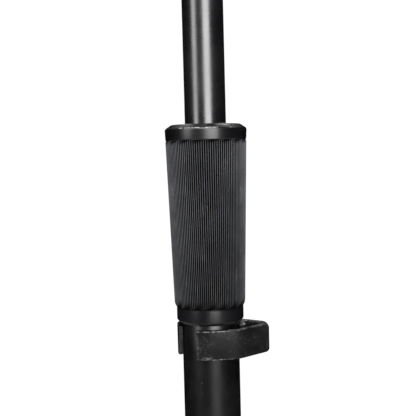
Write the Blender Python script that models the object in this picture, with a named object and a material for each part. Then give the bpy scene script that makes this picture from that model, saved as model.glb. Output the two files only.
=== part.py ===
"""Orchestral music stand: folding tripod base, two-tube mast with a twist clutch, tilting desk.

The mast stands on Z and the floor is z = 0. The reader stands on the -Y side.
Everything is drawn in millimetres and brought to metres at the end.
"""

import math

import bmesh
import bpy
from mathutils import Matrix, Vector

MM = 0.001
GAP = 0.3  # clearance between pieces that touch on the real stand
ROUND = 48  # facets round a large turned piece
SMALL_ROUND = 24  # facets round a pin, rivet or hole

# Mast tubes
LOWER_R = 11.1
UPPER_R = 7.95
TUBE_WALL = 1.2
LOWER_BOTTOM = 4.0
LOWER_TOP = 634.0
UPPER_BOTTOM = 328.6
UPPER_TOP = 985.0

# Tripod base
HUB_BOTTOM = 52.0
HUB_TOP = 98.0
HUB_R = 32.0
PIVOT_R = 24.0
PIVOT_Z = 75.0
PIN_R = 3.0
PIN_HALF = 17.0
LEG_HALF_WIDTH = 5.0
LEG_HEEL_R = 9.0
LEG_TIP_HALF = 7.0
LEG_LENGTH = 275.0
LEG_SLOPE = math.radians(13.4)
LEG_ANGLES = (-90.0, 30.0, 150.0)
SLOT_INNER_R = 14.5
SLOT_ROOF = PIVOT_Z + LEG_HEEL_R + 0.4
FOOT_HALF_WIDTH = 8.0
FOOT_LAP = 24.0
BOSS_R = 7.5
BOSS_END = 37.0

# Clutch: heights are above the grip's lower edge
GRIP_Z = 600.0
NECK_R = 13.04
NECK_TOP = 5.9
NECK_CHAMFER = 1.6
SLEEVE_BOTTOM = 6.2
SLEEVE_TOP = 70.0
SLEEVE_BOTTOM_R = 13.68
SLEEVE_TOP_R = 15.5
SLEEVE_CHAMFER = 1.3
SLEEVE_BORE_R = 12.9
RIB_COUNT = 114
RIB_DEPTH = 0.35
COLLAR_BOTTOM = 70.3
COLLAR_EDGE = 74.5
COLLAR_TOP = 76.3
COLLAR_BOTTOM_R = 15.62
COLLAR_R = 15.81
COLLAR_FLAT_R = 13.2
INSERT_TOP = 50.0

# Cable clip: plan shape about the mast, heights are above the grip's lower edge
CLIP_INNER_R = 11.35
CLIP_OUTER_R = 13.1
CLIP_WALL = CLIP_OUTER_R - CLIP_INNER_R
CLIP_TOP = -0.8
CLIP_BOTTOM = -12.8
CLIP_FRONT_END = -114.5
CLIP_JAW_END = 200.0
ARM_START = Vector((0.0, -CLIP_OUTER_R))
ARM_BEND = Vector((10.6, -11.9))
LOOP_CORNER = Vector((24.7, -1.2))
LOOP_LANDING = 25.0
LOOP_ROUND = 2.3
BEND_ROUND = 8.0
NOSE_ANGLE = -12.0

# Tilting desk: upright plan, the tilt axis is y = 0, z = 0
TILT_Z = 1018.0
DESK_LEAN = math.radians(20.0)
PANEL_BACK = -35.0
PANEL_SHEET = 1.2
PANEL_RIM = 8.0
PANEL_HALF_WIDTH = 250.0
PANEL_BOTTOM = -130.0
PANEL_TOP = 200.0
PANEL_CORNER_R = 18.0
SHELF_HALF_WIDTH = 245.0
SHELF_FLOOR = -128.0
SHELF_FLANGE_TOP = -108.0
SHELF_DEPTH = 55.0
SHELF_LIP = 16.0
PLATE_HALF_WIDTH = 35.0
PLATE_HALF_HEIGHT = 30.0
PLATE_THICK = 3.0
EAR_INNER = 7.1
EAR_THICK = 3.0
EAR_R = 12.0
TONGUE_HALF = 5.0
TONGUE_R = 11.0
SOCKET_R = 12.0
SOCKET_BOTTOM = 957.0
SOCKET_TOP = 992.0
BOLT_R = 4.0
RIVET_R = 2.0
RIVET_HOLE_R = 2.4
RIVET_HEAD_R = 4.0
RIVET_HEAD = 1.4
DESK_RIVETS = ((-27.0, -22.0), (27.0, -22.0), (-27.0, 22.0), (27.0, 22.0))
SHELF_RIVET_X = (-200.0, -70.0, 70.0, 200.0)
SHELF_RIVET_Z = -117.0

# Colour, roughness, metallic
FINISHES = {
    "black_tube": ((0.022, 0.022, 0.024), 0.32, 0.3),
    "black_satin": ((0.018, 0.018, 0.019), 0.45, 0.2),
    "black_cast": ((0.024, 0.024, 0.025), 0.55, 0.3),
    "grip_rubber": ((0.030, 0.031, 0.033), 0.75, 0.0),
    "gloss_black": ((0.014, 0.014, 0.015), 0.25, 0.0),
    "matt_plastic": ((0.040, 0.040, 0.042), 0.6, 0.0),
    "nylon": ((0.62, 0.60, 0.55), 0.5, 0.0),
    "rubber": ((0.020, 0.020, 0.020), 0.85, 0.0),
    "felt": ((0.10, 0.10, 0.10), 0.95, 0.0),
    "zinc": ((0.56, 0.57, 0.58), 0.38, 1.0),
    "dark_bolt": ((0.10, 0.10, 0.105), 0.4, 1.0),
}


def clear_scene():
    """Remove whatever the scene starts with."""
    for old in list(bpy.data.objects):
        bpy.data.objects.remove(old, do_unlink=True)


def finish(name):
    """The named finish as a Principled material, made once."""
    found = bpy.data.materials.get(name)
    if found:
        return found
    colour, roughness, metallic = FINISHES[name]
    made = bpy.data.materials.new(name)
    made.use_nodes = True
    shader = made.node_tree.nodes["Principled BSDF"]
    shader.inputs["Base Color"].default_value = (*colour, 1.0)
    shader.inputs["Roughness"].default_value = roughness
    shader.inputs["Metallic"].default_value = metallic
    made.diffuse_color = (*colour, 1.0)
    return made


def piece(name, mesh, finish_name):
    """A named object from a bmesh drawn in millimetres, normals outward, curves smooth."""
    bmesh.ops.recalc_face_normals(mesh, faces=mesh.faces)
    data = bpy.data.meshes.new(name)
    mesh.to_mesh(data)
    mesh.free()
    made = bpy.data.objects.new(name, data)
    bpy.context.scene.collection.objects.link(made)
    if finish_name:
        data.materials.append(finish(finish_name))
    return made


def turned_mesh(profile, steps=ROUND):
    """A bmesh turned about Z from a closed list of (radius, height) points."""
    mesh = bmesh.new()
    points = [mesh.verts.new((radius, 0.0, height)) for radius, height in profile]
    edges = []
    for here, there in zip(points, points[1:] + points[:1]):
        if here.co.x > 0.0 or there.co.x > 0.0:
            edges.append(mesh.edges.new((here, there)))
    bmesh.ops.spin(
        mesh,
        geom=points + edges,
        cent=(0.0, 0.0, 0.0),
        axis=(0.0, 0.0, 1.0),
        angle=math.tau,
        steps=steps,
        use_merge=True,
        use_duplicate=False,
    )
    bmesh.ops.remove_doubles(mesh, verts=mesh.verts, dist=0.001)
    return mesh


def turned(name, profile, finish_name, steps=ROUND):
    """A turned piece about Z."""
    return piece(name, turned_mesh(profile, steps), finish_name)


def prism_mesh(outline, low, high):
    """A bmesh raised along Z from a flat outline of (x, y) points."""
    mesh = bmesh.new()
    base = mesh.faces.new([mesh.verts.new((x, y, low)) for x, y in outline])
    raised = bmesh.ops.extrude_face_region(mesh, geom=[base])
    moved = [item for item in raised["geom"] if isinstance(item, bmesh.types.BMVert)]
    bmesh.ops.translate(mesh, vec=(0.0, 0.0, high - low), verts=moved)
    return mesh


def prism(name, outline, low, high, finish_name):
    """A piece with a constant outline along Z."""
    return piece(name, prism_mesh(outline, low, high), finish_name)


def rod(name, radius, low, high, finish_name=None, steps=SMALL_ROUND):
    """A solid round rod on Z."""
    return turned(name, [(0, low), (radius, low), (radius, high), (0, high)], finish_name, steps)


def turn_mesh(target, turn):
    """Apply a 4 by 4 matrix to the mesh itself."""
    target.data.transform(turn)
    return target


def boolean(target, tool, operation):
    """Combine a tool into the target and remove the tool."""
    step = target.modifiers.new(operation, "BOOLEAN")
    step.operation = operation
    step.solver = "EXACT"
    step.object = tool
    graph = bpy.context.evaluated_depsgraph_get()
    result = bpy.data.meshes.new_from_object(target.evaluated_get(graph))
    target.modifiers.clear()
    target.data = result
    bpy.data.objects.remove(tool, do_unlink=True)
    return target


def cut(target, tool):
    """Cut the tool's shape out of the target."""
    return boolean(target, tool, "DIFFERENCE")


def join(target, tool):
    """Fuse the tool onto the target."""
    return boolean(target, tool, "UNION")


def arc(centre, radius, start, end, steps):
    """Points on an arc, angles in degrees, both ends included."""
    points = []
    for step in range(steps + 1):
        angle = math.radians(start + (end - start) * step / steps)
        points.append((centre[0] + radius * math.cos(angle), centre[1] + radius * math.sin(angle)))
    return points


def rounded_rectangle(half_width, bottom, top, radius, steps=6):
    """Outline of a rectangle with equal round corners, counter-clockwise."""
    side = half_width - radius
    points = arc((side, bottom + radius), radius, -90, 0, steps)
    points += arc((side, top - radius), radius, 0, 90, steps)
    points += arc((-side, top - radius), radius, 90, 180, steps)
    points += arc((-side, bottom + radius), radius, 180, 270, steps)
    return points


def lobed_outline(inner, outer, lobes, steps):
    """Outline of a hand knob whose radius swells in rounded lobes."""
    middle = (inner + outer) / 2
    swing = (outer - inner) / 2
    points = []
    for step in range(steps):
        angle = math.tau * step / steps
        radius = middle + swing * math.cos(lobes * angle)
        points.append((radius * math.cos(angle), radius * math.sin(angle)))
    return points


Z_TO_X = Matrix.Rotation(math.pi / 2, 4, "Y")
Z_TO_Y = Matrix.Rotation(-math.pi / 2, 4, "X")
Z_TO_BACK = Matrix.Rotation(math.pi / 2, 4, "X")


def build_mast_tubes():
    """The two tubes, the rubber plug under the mast and the guide bush inside it."""
    lower_bore = LOWER_R - TUBE_WALL
    turned("lower_tube", [
        (lower_bore, LOWER_BOTTOM),
        (LOWER_R, LOWER_BOTTOM),
        (LOWER_R, LOWER_TOP),
        (lower_bore, LOWER_TOP),
    ], "black_satin")
    plug_floor = LOWER_BOTTOM - GAP
    plug_bore = LOWER_R + GAP
    plug_r = plug_bore + 1.2
    plug_top = 12.0
    turned("foot_plug", [
        (0, 0),
        (plug_r - 0.8, 0),
        (plug_r, 0.8),
        (plug_r, plug_top),
        (plug_bore, plug_top),
        (plug_bore, plug_floor),
        (0, plug_floor),
    ], "rubber")
    upper_bore = UPPER_R - TUBE_WALL
    turned("upper_tube", [
        (upper_bore, UPPER_BOTTOM),
        (UPPER_R, UPPER_BOTTOM),
        (UPPER_R, UPPER_TOP),
        (upper_bore, UPPER_TOP),
    ], "black_tube")
    bush_r = lower_bore - GAP
    bush_bore = UPPER_R + GAP
    bush_hole = 4.0
    bush_bottom = 318.0
    bush_top = 350.0
    bush_shoulder = UPPER_BOTTOM - GAP
    turned("guide_bush", [
        (bush_hole, bush_bottom),
        (bush_r - 0.8, bush_bottom),
        (bush_r, bush_bottom + 0.8),
        (bush_r, bush_top),
        (bush_bore, bush_top),
        (bush_bore, bush_shoulder),
        (bush_hole, bush_shoulder),
    ], "nylon", SMALL_ROUND * 2)


def build_hub():
    """Cast hub with three leg slots, pin holes and a boss for the clamp knob."""
    hub_bore = LOWER_R + GAP
    hub = turned("base_hub", [
        (hub_bore, HUB_BOTTOM),
        (HUB_R - 2.0, HUB_BOTTOM),
        (HUB_R, HUB_BOTTOM + 2.0),
        (HUB_R, HUB_TOP - 12.0),
        (HUB_R - 2.5, HUB_TOP - 7.0),
        (HUB_R - 8.0, HUB_TOP - 3.0),
        (HUB_R - 15.0, HUB_TOP),
        (hub_bore, HUB_TOP),
    ], "black_cast")
    slot_half = LEG_HALF_WIDTH + 0.4
    slot_outer = HUB_R + 10.0
    slot_outline = [
        (SLOT_INNER_R, -slot_half),
        (slot_outer, -slot_half),
        (slot_outer, slot_half),
        (SLOT_INNER_R, slot_half),
    ]
    for angle in LEG_ANGLES:
        about = Matrix.Rotation(math.radians(angle), 4, "Z")
        slot = prism("slot", slot_outline, HUB_BOTTOM - 5.0, SLOT_ROOF, None)
        turn_mesh(slot, about)
        cut(hub, slot)
        hole = rod("pin_hole", PIN_R + GAP, -HUB_R, HUB_R)
        turn_mesh(hole, about @ Matrix.Translation((PIVOT_R, 0, PIVOT_Z)) @ Z_TO_Y)
        cut(hub, hole)
    boss = rod("boss", BOSS_R, PIVOT_R, BOSS_END, None, SMALL_ROUND)
    turn_mesh(boss, Matrix.Translation((0, 0, PIVOT_Z)) @ Z_TO_Y)
    join(hub, boss)
    stud_hole = rod("stud_hole", PIN_R + GAP, 6.0, BOSS_END + 5.0)
    turn_mesh(stud_hole, Matrix.Translation((0, 0, PIVOT_Z)) @ Z_TO_Y)
    cut(hub, stud_hole)


def leg_outline():
    """Side view of a leg bar about its pivot: round heel, slight taper to the tip."""
    points = arc((0, 0), LEG_HEEL_R, 90, 270, 12)
    points.append((LEG_LENGTH, -LEG_TIP_HALF))
    points.append((LEG_LENGTH, LEG_TIP_HALF))
    return points


def on_leg(along, across):
    """A point of the leg's side view in (radius from pivot, height over pivot)."""
    cosine = math.cos(LEG_SLOPE)
    sine = math.sin(LEG_SLOPE)
    return (along * cosine + across * sine, across * cosine - along * sine)


def foot_outline():
    """Side view of a rubber foot about the leg's pivot, its sole flat on the floor."""
    cover = LEG_TIP_HALF + 2.4
    heel = on_leg(LEG_LENGTH - FOOT_LAP, cover)
    crown = on_leg(LEG_LENGTH + 3.0, cover)
    nose = on_leg(LEG_LENGTH + 5.5, cover - 3.0)
    under = on_leg(LEG_LENGTH - FOOT_LAP, -cover)
    floor = -PIVOT_Z
    return [
        under,
        (under[0] + 2.0, floor),
        (nose[0] - 1.5, floor),
        (nose[0], floor + 1.5),
        nose,
        crown,
        heel,
    ]


def build_legs():
    """Three legs, each with its pivot pin and a rubber foot."""
    upright = Matrix.Rotation(math.pi / 2, 4, "X")
    slope = Matrix.Rotation(LEG_SLOPE, 4, "Y")
    for number, angle in enumerate(LEG_ANGLES, 1):
        about = Matrix.Rotation(math.radians(angle), 4, "Z")
        pivot = about @ Vector((PIVOT_R, 0, PIVOT_Z))
        leg = prism(f"leg_{number}", leg_outline(), -LEG_HALF_WIDTH, LEG_HALF_WIDTH, "black_cast")
        turn_mesh(leg, slope @ upright)
        hole = rod("hole", PIN_R + GAP, -LEG_HALF_WIDTH - 5.0, LEG_HALF_WIDTH + 5.0)
        turn_mesh(hole, Z_TO_Y)
        cut(leg, hole)
        pin = rod(f"leg_pin_{number}", PIN_R, -PIN_HALF, PIN_HALF, "zinc")
        turn_mesh(pin, Z_TO_Y)
        foot = prism(f"foot_{number}", foot_outline(), -FOOT_HALF_WIDTH, FOOT_HALF_WIDTH, "rubber")
        turn_mesh(foot, upright)
        room = LEG_HALF_WIDTH + GAP
        pocket = prism("pocket", [
            (LEG_LENGTH - 2 * FOOT_LAP, -LEG_HEEL_R + 0.9),
            (LEG_LENGTH + GAP, -LEG_TIP_HALF - GAP),
            (LEG_LENGTH + GAP, LEG_TIP_HALF + GAP),
            (LEG_LENGTH - 2 * FOOT_LAP, LEG_HEEL_R - 0.9),
        ], -room, room, None)
        turn_mesh(pocket, slope @ upright)
        cut(foot, pocket)
        for part in (leg, pin, foot):
            turn_mesh(part, about)
            part.location = pivot


def build_hub_knob():
    """Clamp knob whose stud bears on the lower tube through the hub's boss."""
    knob = prism("hub_knob", lobed_outline(13.0, 16.0, 5, 40), 42.0, 54.0, "matt_plastic")
    collar_start = BOSS_END + GAP
    join(knob, rod("collar", 8.0, collar_start, 43.0, None))
    join(knob, rod("stud", PIN_R, LOWER_R + 0.4, 44.0, None))
    turn_mesh(knob, Z_TO_Y)
    knob.location = (0, 0, PIVOT_Z)


def fillet(before, corner, after, radius, steps):
    """Points rounding a left-hand corner between two straight runs."""
    into = (corner - before).normalized()
    out = (after - corner).normalized()
    half_turn = into.angle(out) / 2
    reach = radius * math.tan(half_turn)
    start = corner - into * reach
    left = Vector((-into.y, into.x))
    centre = start + left * radius
    begin = math.degrees(math.atan2(start.y - centre.y, start.x - centre.x))
    return arc(centre, radius, begin, begin + math.degrees(2 * half_turn), steps)


def on_ring(radius, degrees):
    """Point on a circle about the mast."""
    angle = math.radians(degrees)
    return Vector((radius * math.cos(angle), radius * math.sin(angle)))


def crossing(point, direction, radius):
    """Where a line coming in from outside first meets a circle about the mast."""
    along = point.dot(direction)
    reach = math.sqrt(along * along - point.length_squared + radius * radius)
    return point - direction * (along + reach)


def inside_corner(before, corner, after, wall):
    """The corner of a strip's inner face, a wall's thickness to the left of its outer one."""
    into = (corner - before).normalized()
    out = (after - corner).normalized()
    first = Vector((-into.y, into.x))
    second = Vector((-out.y, out.x))
    return corner + (first + second) * (wall / (1.0 + first.dot(second)))


def build_clip():
    """Cable clip: a ring round the back of the lower tube and an arm looped round its front.

    The ring ends in a round nose on the right, so the space between it and the arm is the
    eye that holds a cable against the mast.
    """
    landing = on_ring(CLIP_OUTER_R, LOOP_LANDING)
    outer = arc((0, 0), CLIP_OUTER_R, CLIP_FRONT_END, -90, 8)
    outer += fillet(ARM_START, ARM_BEND, LOOP_CORNER, BEND_ROUND, 6)
    outer += fillet(ARM_BEND, LOOP_CORNER, landing, LOOP_ROUND, 12)
    outer += arc((0, 0), CLIP_OUTER_R, LOOP_LANDING, CLIP_JAW_END, 36)
    start = on_ring(CLIP_INNER_R, -90)
    bend = inside_corner(ARM_START, ARM_BEND, LOOP_CORNER, CLIP_WALL)
    corner = inside_corner(ARM_BEND, LOOP_CORNER, landing, CLIP_WALL)
    back_arm = (landing - LOOP_CORNER).normalized()
    back_face = landing + Vector((-back_arm.y, back_arm.x)) * CLIP_WALL
    root = crossing(back_face, back_arm, CLIP_OUTER_R)
    root_angle = math.degrees(math.atan2(root.y, root.x))
    nose = on_ring((CLIP_INNER_R + CLIP_OUTER_R) / 2, NOSE_ANGLE)
    inner = arc((0, 0), CLIP_INNER_R, CLIP_FRONT_END, -90, 8)
    inner += fillet(start, bend, corner, BEND_ROUND - CLIP_WALL, 6)
    inner += fillet(bend, corner, root, 1.0, 6)
    inner += arc((0, 0), CLIP_OUTER_R, root_angle, NOSE_ANGLE, 4)
    inner += arc(nose, CLIP_WALL / 2, NOSE_ANGLE, NOSE_ANGLE - 180, 8)[1:-1]
    inner += arc((0, 0), CLIP_INNER_R, NOSE_ANGLE, CLIP_JAW_END, 40)
    outline = outer + inner[::-1]
    prism("cable_clip", outline, GRIP_Z + CLIP_BOTTOM, GRIP_Z + CLIP_TOP, "matt_plastic")


def build_clutch():
    """Twist clutch: fixed insert and slotted collet inside, a turning grip outside."""
    tube_bore = LOWER_R - TUBE_WALL
    slide_bore = UPPER_R + 0.4
    spigot_bottom = GRIP_Z + 14.0
    flange_bottom = LOWER_TOP + GAP
    insert_top = GRIP_Z + INSERT_TOP
    turned("thread_insert", [
        (slide_bore, spigot_bottom),
        (tube_bore - GAP, spigot_bottom),
        (tube_bore - GAP, flange_bottom),
        (LOWER_R, flange_bottom),
        (LOWER_R, insert_top),
        (slide_bore, insert_top),
    ], "zinc")
    ring_bottom = insert_top + GAP
    ring_top = ring_bottom + 1.0
    turned("thrust_ring", [
        (slide_bore, ring_bottom),
        (LOWER_R, ring_bottom),
        (LOWER_R, ring_top),
        (slide_bore, ring_top),
    ], "zinc")
    collet_bottom = ring_top + GAP
    collet_top = GRIP_Z + 66.0
    collet = turned("collet", [
        (slide_bore, collet_bottom),
        (LOWER_R, collet_bottom),
        (LOWER_R, collet_bottom + 3.0),
        (9.6, collet_top),
        (slide_bore, collet_top),
    ], "nylon")
    for quarter in range(4):
        slit = prism("slit", [(5, -0.6), (15, -0.6), (15, 0.6), (5, 0.6)],
                     collet_bottom + 3.5, collet_top + 3.0, None)
        turn_mesh(slit, Matrix.Rotation(math.radians(45 + 90 * quarter), 4, "Z"))
        cut(collet, slit)
    core_bore = LOWER_R + 0.4
    core_r = SLEEVE_BORE_R - GAP
    turned("grip_core", [
        (core_bore, GRIP_Z),
        (LOWER_R + 0.7, GRIP_Z),
        (NECK_R, GRIP_Z + NECK_CHAMFER),
        (NECK_R, GRIP_Z + NECK_TOP),
        (core_r, GRIP_Z + NECK_TOP),
        (core_r, GRIP_Z + 68.0),
        (10.0, GRIP_Z + 68.0),
        (core_bore, collet_bottom + 3.0),
    ], "gloss_black")
    build_sleeve()
    wiper_bottom = GRIP_Z + COLLAR_BOTTOM + GAP
    wiper_top = wiper_bottom + 2.6
    wiper_seat_r = 10.5
    turned("top_collar", [
        (wiper_seat_r, GRIP_Z + COLLAR_BOTTOM),
        (COLLAR_BOTTOM_R, GRIP_Z + COLLAR_BOTTOM),
        (COLLAR_R, GRIP_Z + COLLAR_EDGE),
        (COLLAR_FLAT_R, GRIP_Z + COLLAR_TOP),
        (UPPER_R + 0.5, GRIP_Z + COLLAR_TOP),
        (UPPER_R + 0.5, wiper_top + GAP),
        (wiper_seat_r, wiper_top + GAP),
    ], "gloss_black")
    turned("wiper_ring", [
        (UPPER_R + GAP, wiper_bottom),
        (wiper_seat_r - GAP, wiper_bottom),
        (wiper_seat_r - GAP, wiper_top),
        (UPPER_R + GAP, wiper_top),
    ], "felt")


def build_sleeve():
    """Tapered grip sleeve with fine straight ribs all round."""
    def ribbed(radius, height):
        points = []
        for step in range(2 * RIB_COUNT):
            angle = math.pi * step / RIB_COUNT
            reach = radius - (step % 2) * RIB_DEPTH
            points.append((reach * math.cos(angle), reach * math.sin(angle), GRIP_Z + height))
        return points

    def plain(radius, height):
        points = []
        for step in range(2 * RIB_COUNT):
            angle = math.pi * step / RIB_COUNT
            points.append((radius * math.cos(angle), radius * math.sin(angle), GRIP_Z + height))
        return points

    rings = [
        plain(SLEEVE_BORE_R, SLEEVE_BOTTOM),
        plain(SLEEVE_BOTTOM_R - RIB_DEPTH - 0.1, SLEEVE_BOTTOM),
        ribbed(SLEEVE_BOTTOM_R, SLEEVE_BOTTOM + SLEEVE_CHAMFER),
        ribbed(SLEEVE_TOP_R, SLEEVE_TOP),
        plain(SLEEVE_BORE_R, SLEEVE_TOP),
    ]
    mesh = bmesh.new()
    loops = [[mesh.verts.new(point) for point in ring] for ring in rings]
    for lower, upper in zip(loops, loops[1:] + loops[:1]):
        for index in range(2 * RIB_COUNT):
            after = (index + 1) % (2 * RIB_COUNT)
            mesh.faces.new((lower[index], lower[after], upper[after], upper[index]))
    piece("grip_sleeve", mesh, "grip_rubber")


def build_head():
    """Head block on top of the upper tube, with its set screw and friction washers."""
    socket_bore = UPPER_R + GAP
    head = turned("head_block", [
        (socket_bore, SOCKET_BOTTOM),
        (SOCKET_R, SOCKET_BOTTOM),
        (SOCKET_R, SOCKET_TOP - 2.0),
        (SOCKET_R - 2.0, SOCKET_TOP),
        (0, SOCKET_TOP),
        (0, UPPER_TOP + GAP),
        (socket_bore, UPPER_TOP + GAP),
    ], "black_cast")
    foot = SOCKET_TOP - 3.0 - TILT_Z
    tongue_outline = [(-foot, -TONGUE_R + 1.0), (-foot, TONGUE_R - 1.0)]
    tongue_outline += arc((0, 0), TONGUE_R, 90, 270, 16)
    tongue = prism("tongue", tongue_outline, -TONGUE_HALF, TONGUE_HALF, None)
    turn_mesh(tongue, Matrix.Translation((0, 0, TILT_Z)) @ Z_TO_X)
    join(head, tongue)
    across = Matrix.Translation((0, 0, TILT_Z)) @ Z_TO_X
    bolt_hole = rod("bolt_hole", BOLT_R + GAP, -TONGUE_HALF - 5.0, TONGUE_HALF + 5.0)
    cut(head, turn_mesh(bolt_hole, across))
    screw_z = SOCKET_BOTTOM + 13.0
    screw_r = 2.4
    screw_way = Matrix.Translation((0, 0, screw_z)) @ Z_TO_Y
    screw_hole = rod("screw_hole", screw_r + GAP, UPPER_R - 2.0, SOCKET_R + 3.0)
    cut(head, turn_mesh(screw_hole, screw_way))
    head_start = SOCKET_R + GAP
    screw = turned("head_screw", [
        (0, UPPER_R + GAP),
        (screw_r, UPPER_R + GAP),
        (screw_r, head_start),
        (4.2, head_start),
        (4.2, head_start + 3.2),
        (0, head_start + 3.2),
    ], "dark_bolt", SMALL_ROUND)
    turn_mesh(screw, screw_way)
    washer_inner = TONGUE_HALF + GAP
    washer_outer = EAR_INNER - GAP
    for side, sign in (("left", -1), ("right", 1)):
        washer = turned(f"friction_washer_{side}", [
            (BOLT_R + GAP, sign * washer_inner),
            (10.0, sign * washer_inner),
            (10.0, sign * washer_outer),
            (BOLT_R + GAP, sign * washer_outer),
        ], "nylon", SMALL_ROUND)
        turn_mesh(washer, Z_TO_X)
        washer.location = (0, 0, TILT_Z)


def ear_outline():
    """Side view of a bracket ear: round about the bolt, widening down to the plate."""
    plate_face = -(PANEL_BACK + GAP + PLATE_THICK / 2)
    corner = Vector((plate_face, PLATE_HALF_HEIGHT - 2.0))
    reach = corner.length
    spread = math.degrees(math.acos(EAR_R / reach))
    lean = math.degrees(math.atan2(corner.y, corner.x))
    points = arc((0, 0), EAR_R, lean + spread, 360 - lean - spread, 18)
    points.append((corner.x, -corner.y))
    points.append((corner.x, corner.y))
    return points


def build_bracket():
    """Cast bracket behind the desk: a riveted plate with two ears for the tilt bolt."""
    plate_front = PANEL_BACK + GAP
    plate_outline = rounded_rectangle(PLATE_HALF_WIDTH, -PLATE_HALF_HEIGHT, PLATE_HALF_HEIGHT, 5.0)
    bracket = prism("bracket", plate_outline, -plate_front - PLATE_THICK, -plate_front, "black_cast")
    turn_mesh(bracket, Z_TO_BACK)
    side_view = Matrix(((0, 0, 1, 0), (-1, 0, 0, 0), (0, 1, 0, 0), (0, 0, 0, 1)))
    for inner in (EAR_INNER, -EAR_INNER - EAR_THICK):
        ear = prism("ear", ear_outline(), inner, inner + EAR_THICK, None)
        turn_mesh(ear, side_view)
        join(bracket, ear)
    bolt_hole = rod("bolt_hole", BOLT_R + GAP, -20.0, 20.0)
    cut(bracket, turn_mesh(bolt_hole, Z_TO_X))
    for x, z in DESK_RIVETS:
        cut(bracket, rivet_hole(x, z))
    return bracket


def rivet_hole(x, z):
    """A round cutter through the desk's sheets at (x, z)."""
    hole = rod("rivet_hole", RIVET_HOLE_R, 20.0, 50.0, None, SMALL_ROUND)
    return turn_mesh(hole, Matrix.Translation((x, 0, z)) @ Z_TO_BACK)


def rivet(name, x, z, front, back):
    """A rivet through the sheets between two depths in front of the tilt axis."""
    made = turned(name, [
        (0, back - RIVET_HEAD),
        (RIVET_HEAD_R - 1.0, back - RIVET_HEAD),
        (RIVET_HEAD_R, back - 0.3),
        (RIVET_HEAD_R, back),
        (RIVET_R, back),
        (RIVET_R, front),
        (RIVET_HEAD_R, front),
        (RIVET_HEAD_R, front + 0.3),
        (RIVET_HEAD_R - 1.0, front + RIVET_HEAD),
        (0, front + RIVET_HEAD),
    ], "dark_bolt", 16)
    return turn_mesh(made, Matrix.Translation((x, 0, z)) @ Z_TO_BACK)


def build_panel():
    """Pressed desk panel: a flat sheet whose rim is turned back all round."""
    face = -PANEL_BACK + PANEL_SHEET
    rim = -PANEL_BACK - PANEL_RIM
    outline = rounded_rectangle(PANEL_HALF_WIDTH, PANEL_BOTTOM, PANEL_TOP, PANEL_CORNER_R)
    panel = turn_mesh(prism("desk_panel", outline, rim, face, "black_satin"), Z_TO_BACK)
    hollow_outline = rounded_rectangle(
        PANEL_HALF_WIDTH - PANEL_SHEET,
        PANEL_BOTTOM + PANEL_SHEET,
        PANEL_TOP - PANEL_SHEET,
        PANEL_CORNER_R - PANEL_SHEET,
    )
    hollow = prism("hollow", hollow_outline, rim - 5.0, -PANEL_BACK, None)
    cut(panel, turn_mesh(hollow, Z_TO_BACK))
    for x, z in DESK_RIVETS:
        cut(panel, rivet_hole(x, z))
    for x in SHELF_RIVET_X:
        cut(panel, rivet_hole(x, SHELF_RIVET_Z))
    return panel


def build_shelf():
    """Folded shelf: flange against the panel, deck and front lip."""
    back = -PANEL_BACK + PANEL_SHEET + GAP
    sheet = PANEL_SHEET
    front = back + sheet + SHELF_DEPTH
    deck = SHELF_FLOOR + sheet
    lip_top = SHELF_FLOOR + SHELF_LIP
    section = [
        (back, SHELF_FLOOR),
        (front + sheet, SHELF_FLOOR),
        (front + sheet, lip_top),
        (front, lip_top),
        (front, deck),
        (back + sheet, deck),
        (back + sheet, SHELF_FLANGE_TOP),
        (back, SHELF_FLANGE_TOP),
    ]
    shelf = prism("desk_shelf", section, -SHELF_HALF_WIDTH, SHELF_HALF_WIDTH, "black_satin")
    side_view = Matrix(((0, 0, 1, 0), (-1, 0, 0, 0), (0, 1, 0, 0), (0, 0, 0, 1)))
    turn_mesh(shelf, side_view)
    for x in SHELF_RIVET_X:
        cut(shelf, rivet_hole(x, SHELF_RIVET_Z))
    return shelf


def build_tilt_bolt():
    """Cup-headed bolt through both ears, its washer and the hand knob on its right end."""
    ear_outer = EAR_INNER + EAR_THICK
    head_end = -ear_outer - GAP
    bolt = turned("pivot_bolt", [
        (0, head_end - 4.0),
        (5.0, head_end - 4.0),
        (7.0, head_end - 2.0),
        (7.0, head_end),
        (BOLT_R, head_end),
        (BOLT_R, 25.7),
        (0, 25.7),
    ], "dark_bolt", SMALL_ROUND)
    turn_mesh(bolt, Z_TO_X)
    washer_start = ear_outer + GAP
    washer = turned("knob_washer", [
        (BOLT_R + GAP, washer_start),
        (9.0, washer_start),
        (9.0, washer_start + 1.2),
        (BOLT_R + GAP, washer_start + 1.2),
    ], "zinc", SMALL_ROUND)
    turn_mesh(washer, Z_TO_X)
    knob_start = washer_start + 1.2 + GAP
    knob = prism("tilt_knob", lobed_outline(15.5, 19.0, 6, 48), 16.0, 30.0, "matt_plastic")
    join(knob, rod("knob_hub", 9.0, knob_start, 17.0))
    cut(knob, rod("knob_bore", BOLT_R + GAP, knob_start - 5.0, 26.2))
    turn_mesh(knob, Z_TO_X)
    return [bolt, washer, knob]


def build_desk():
    """Everything that tilts, leaned back to its resting angle about the tilt axis."""
    parts = [build_bracket(), build_panel(), build_shelf()]
    parts += build_tilt_bolt()
    face = -PANEL_BACK + PANEL_SHEET + GAP
    plate_back = -PANEL_BACK - GAP - PLATE_THICK - GAP
    for number, (x, z) in enumerate(DESK_RIVETS, 1):
        parts.append(rivet(f"desk_rivet_{number}", x, z, face, plate_back))
    shelf_face = face + PANEL_SHEET + GAP
    panel_back = -PANEL_BACK - GAP
    for number, x in enumerate(SHELF_RIVET_X, 1):
        parts.append(rivet(f"shelf_rivet_{number}", x, SHELF_RIVET_Z, shelf_face, panel_back))
    for part in parts:
        part.location = (0, 0, TILT_Z)
        part.rotation_euler = (-DESK_LEAN, 0, 0)


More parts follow.
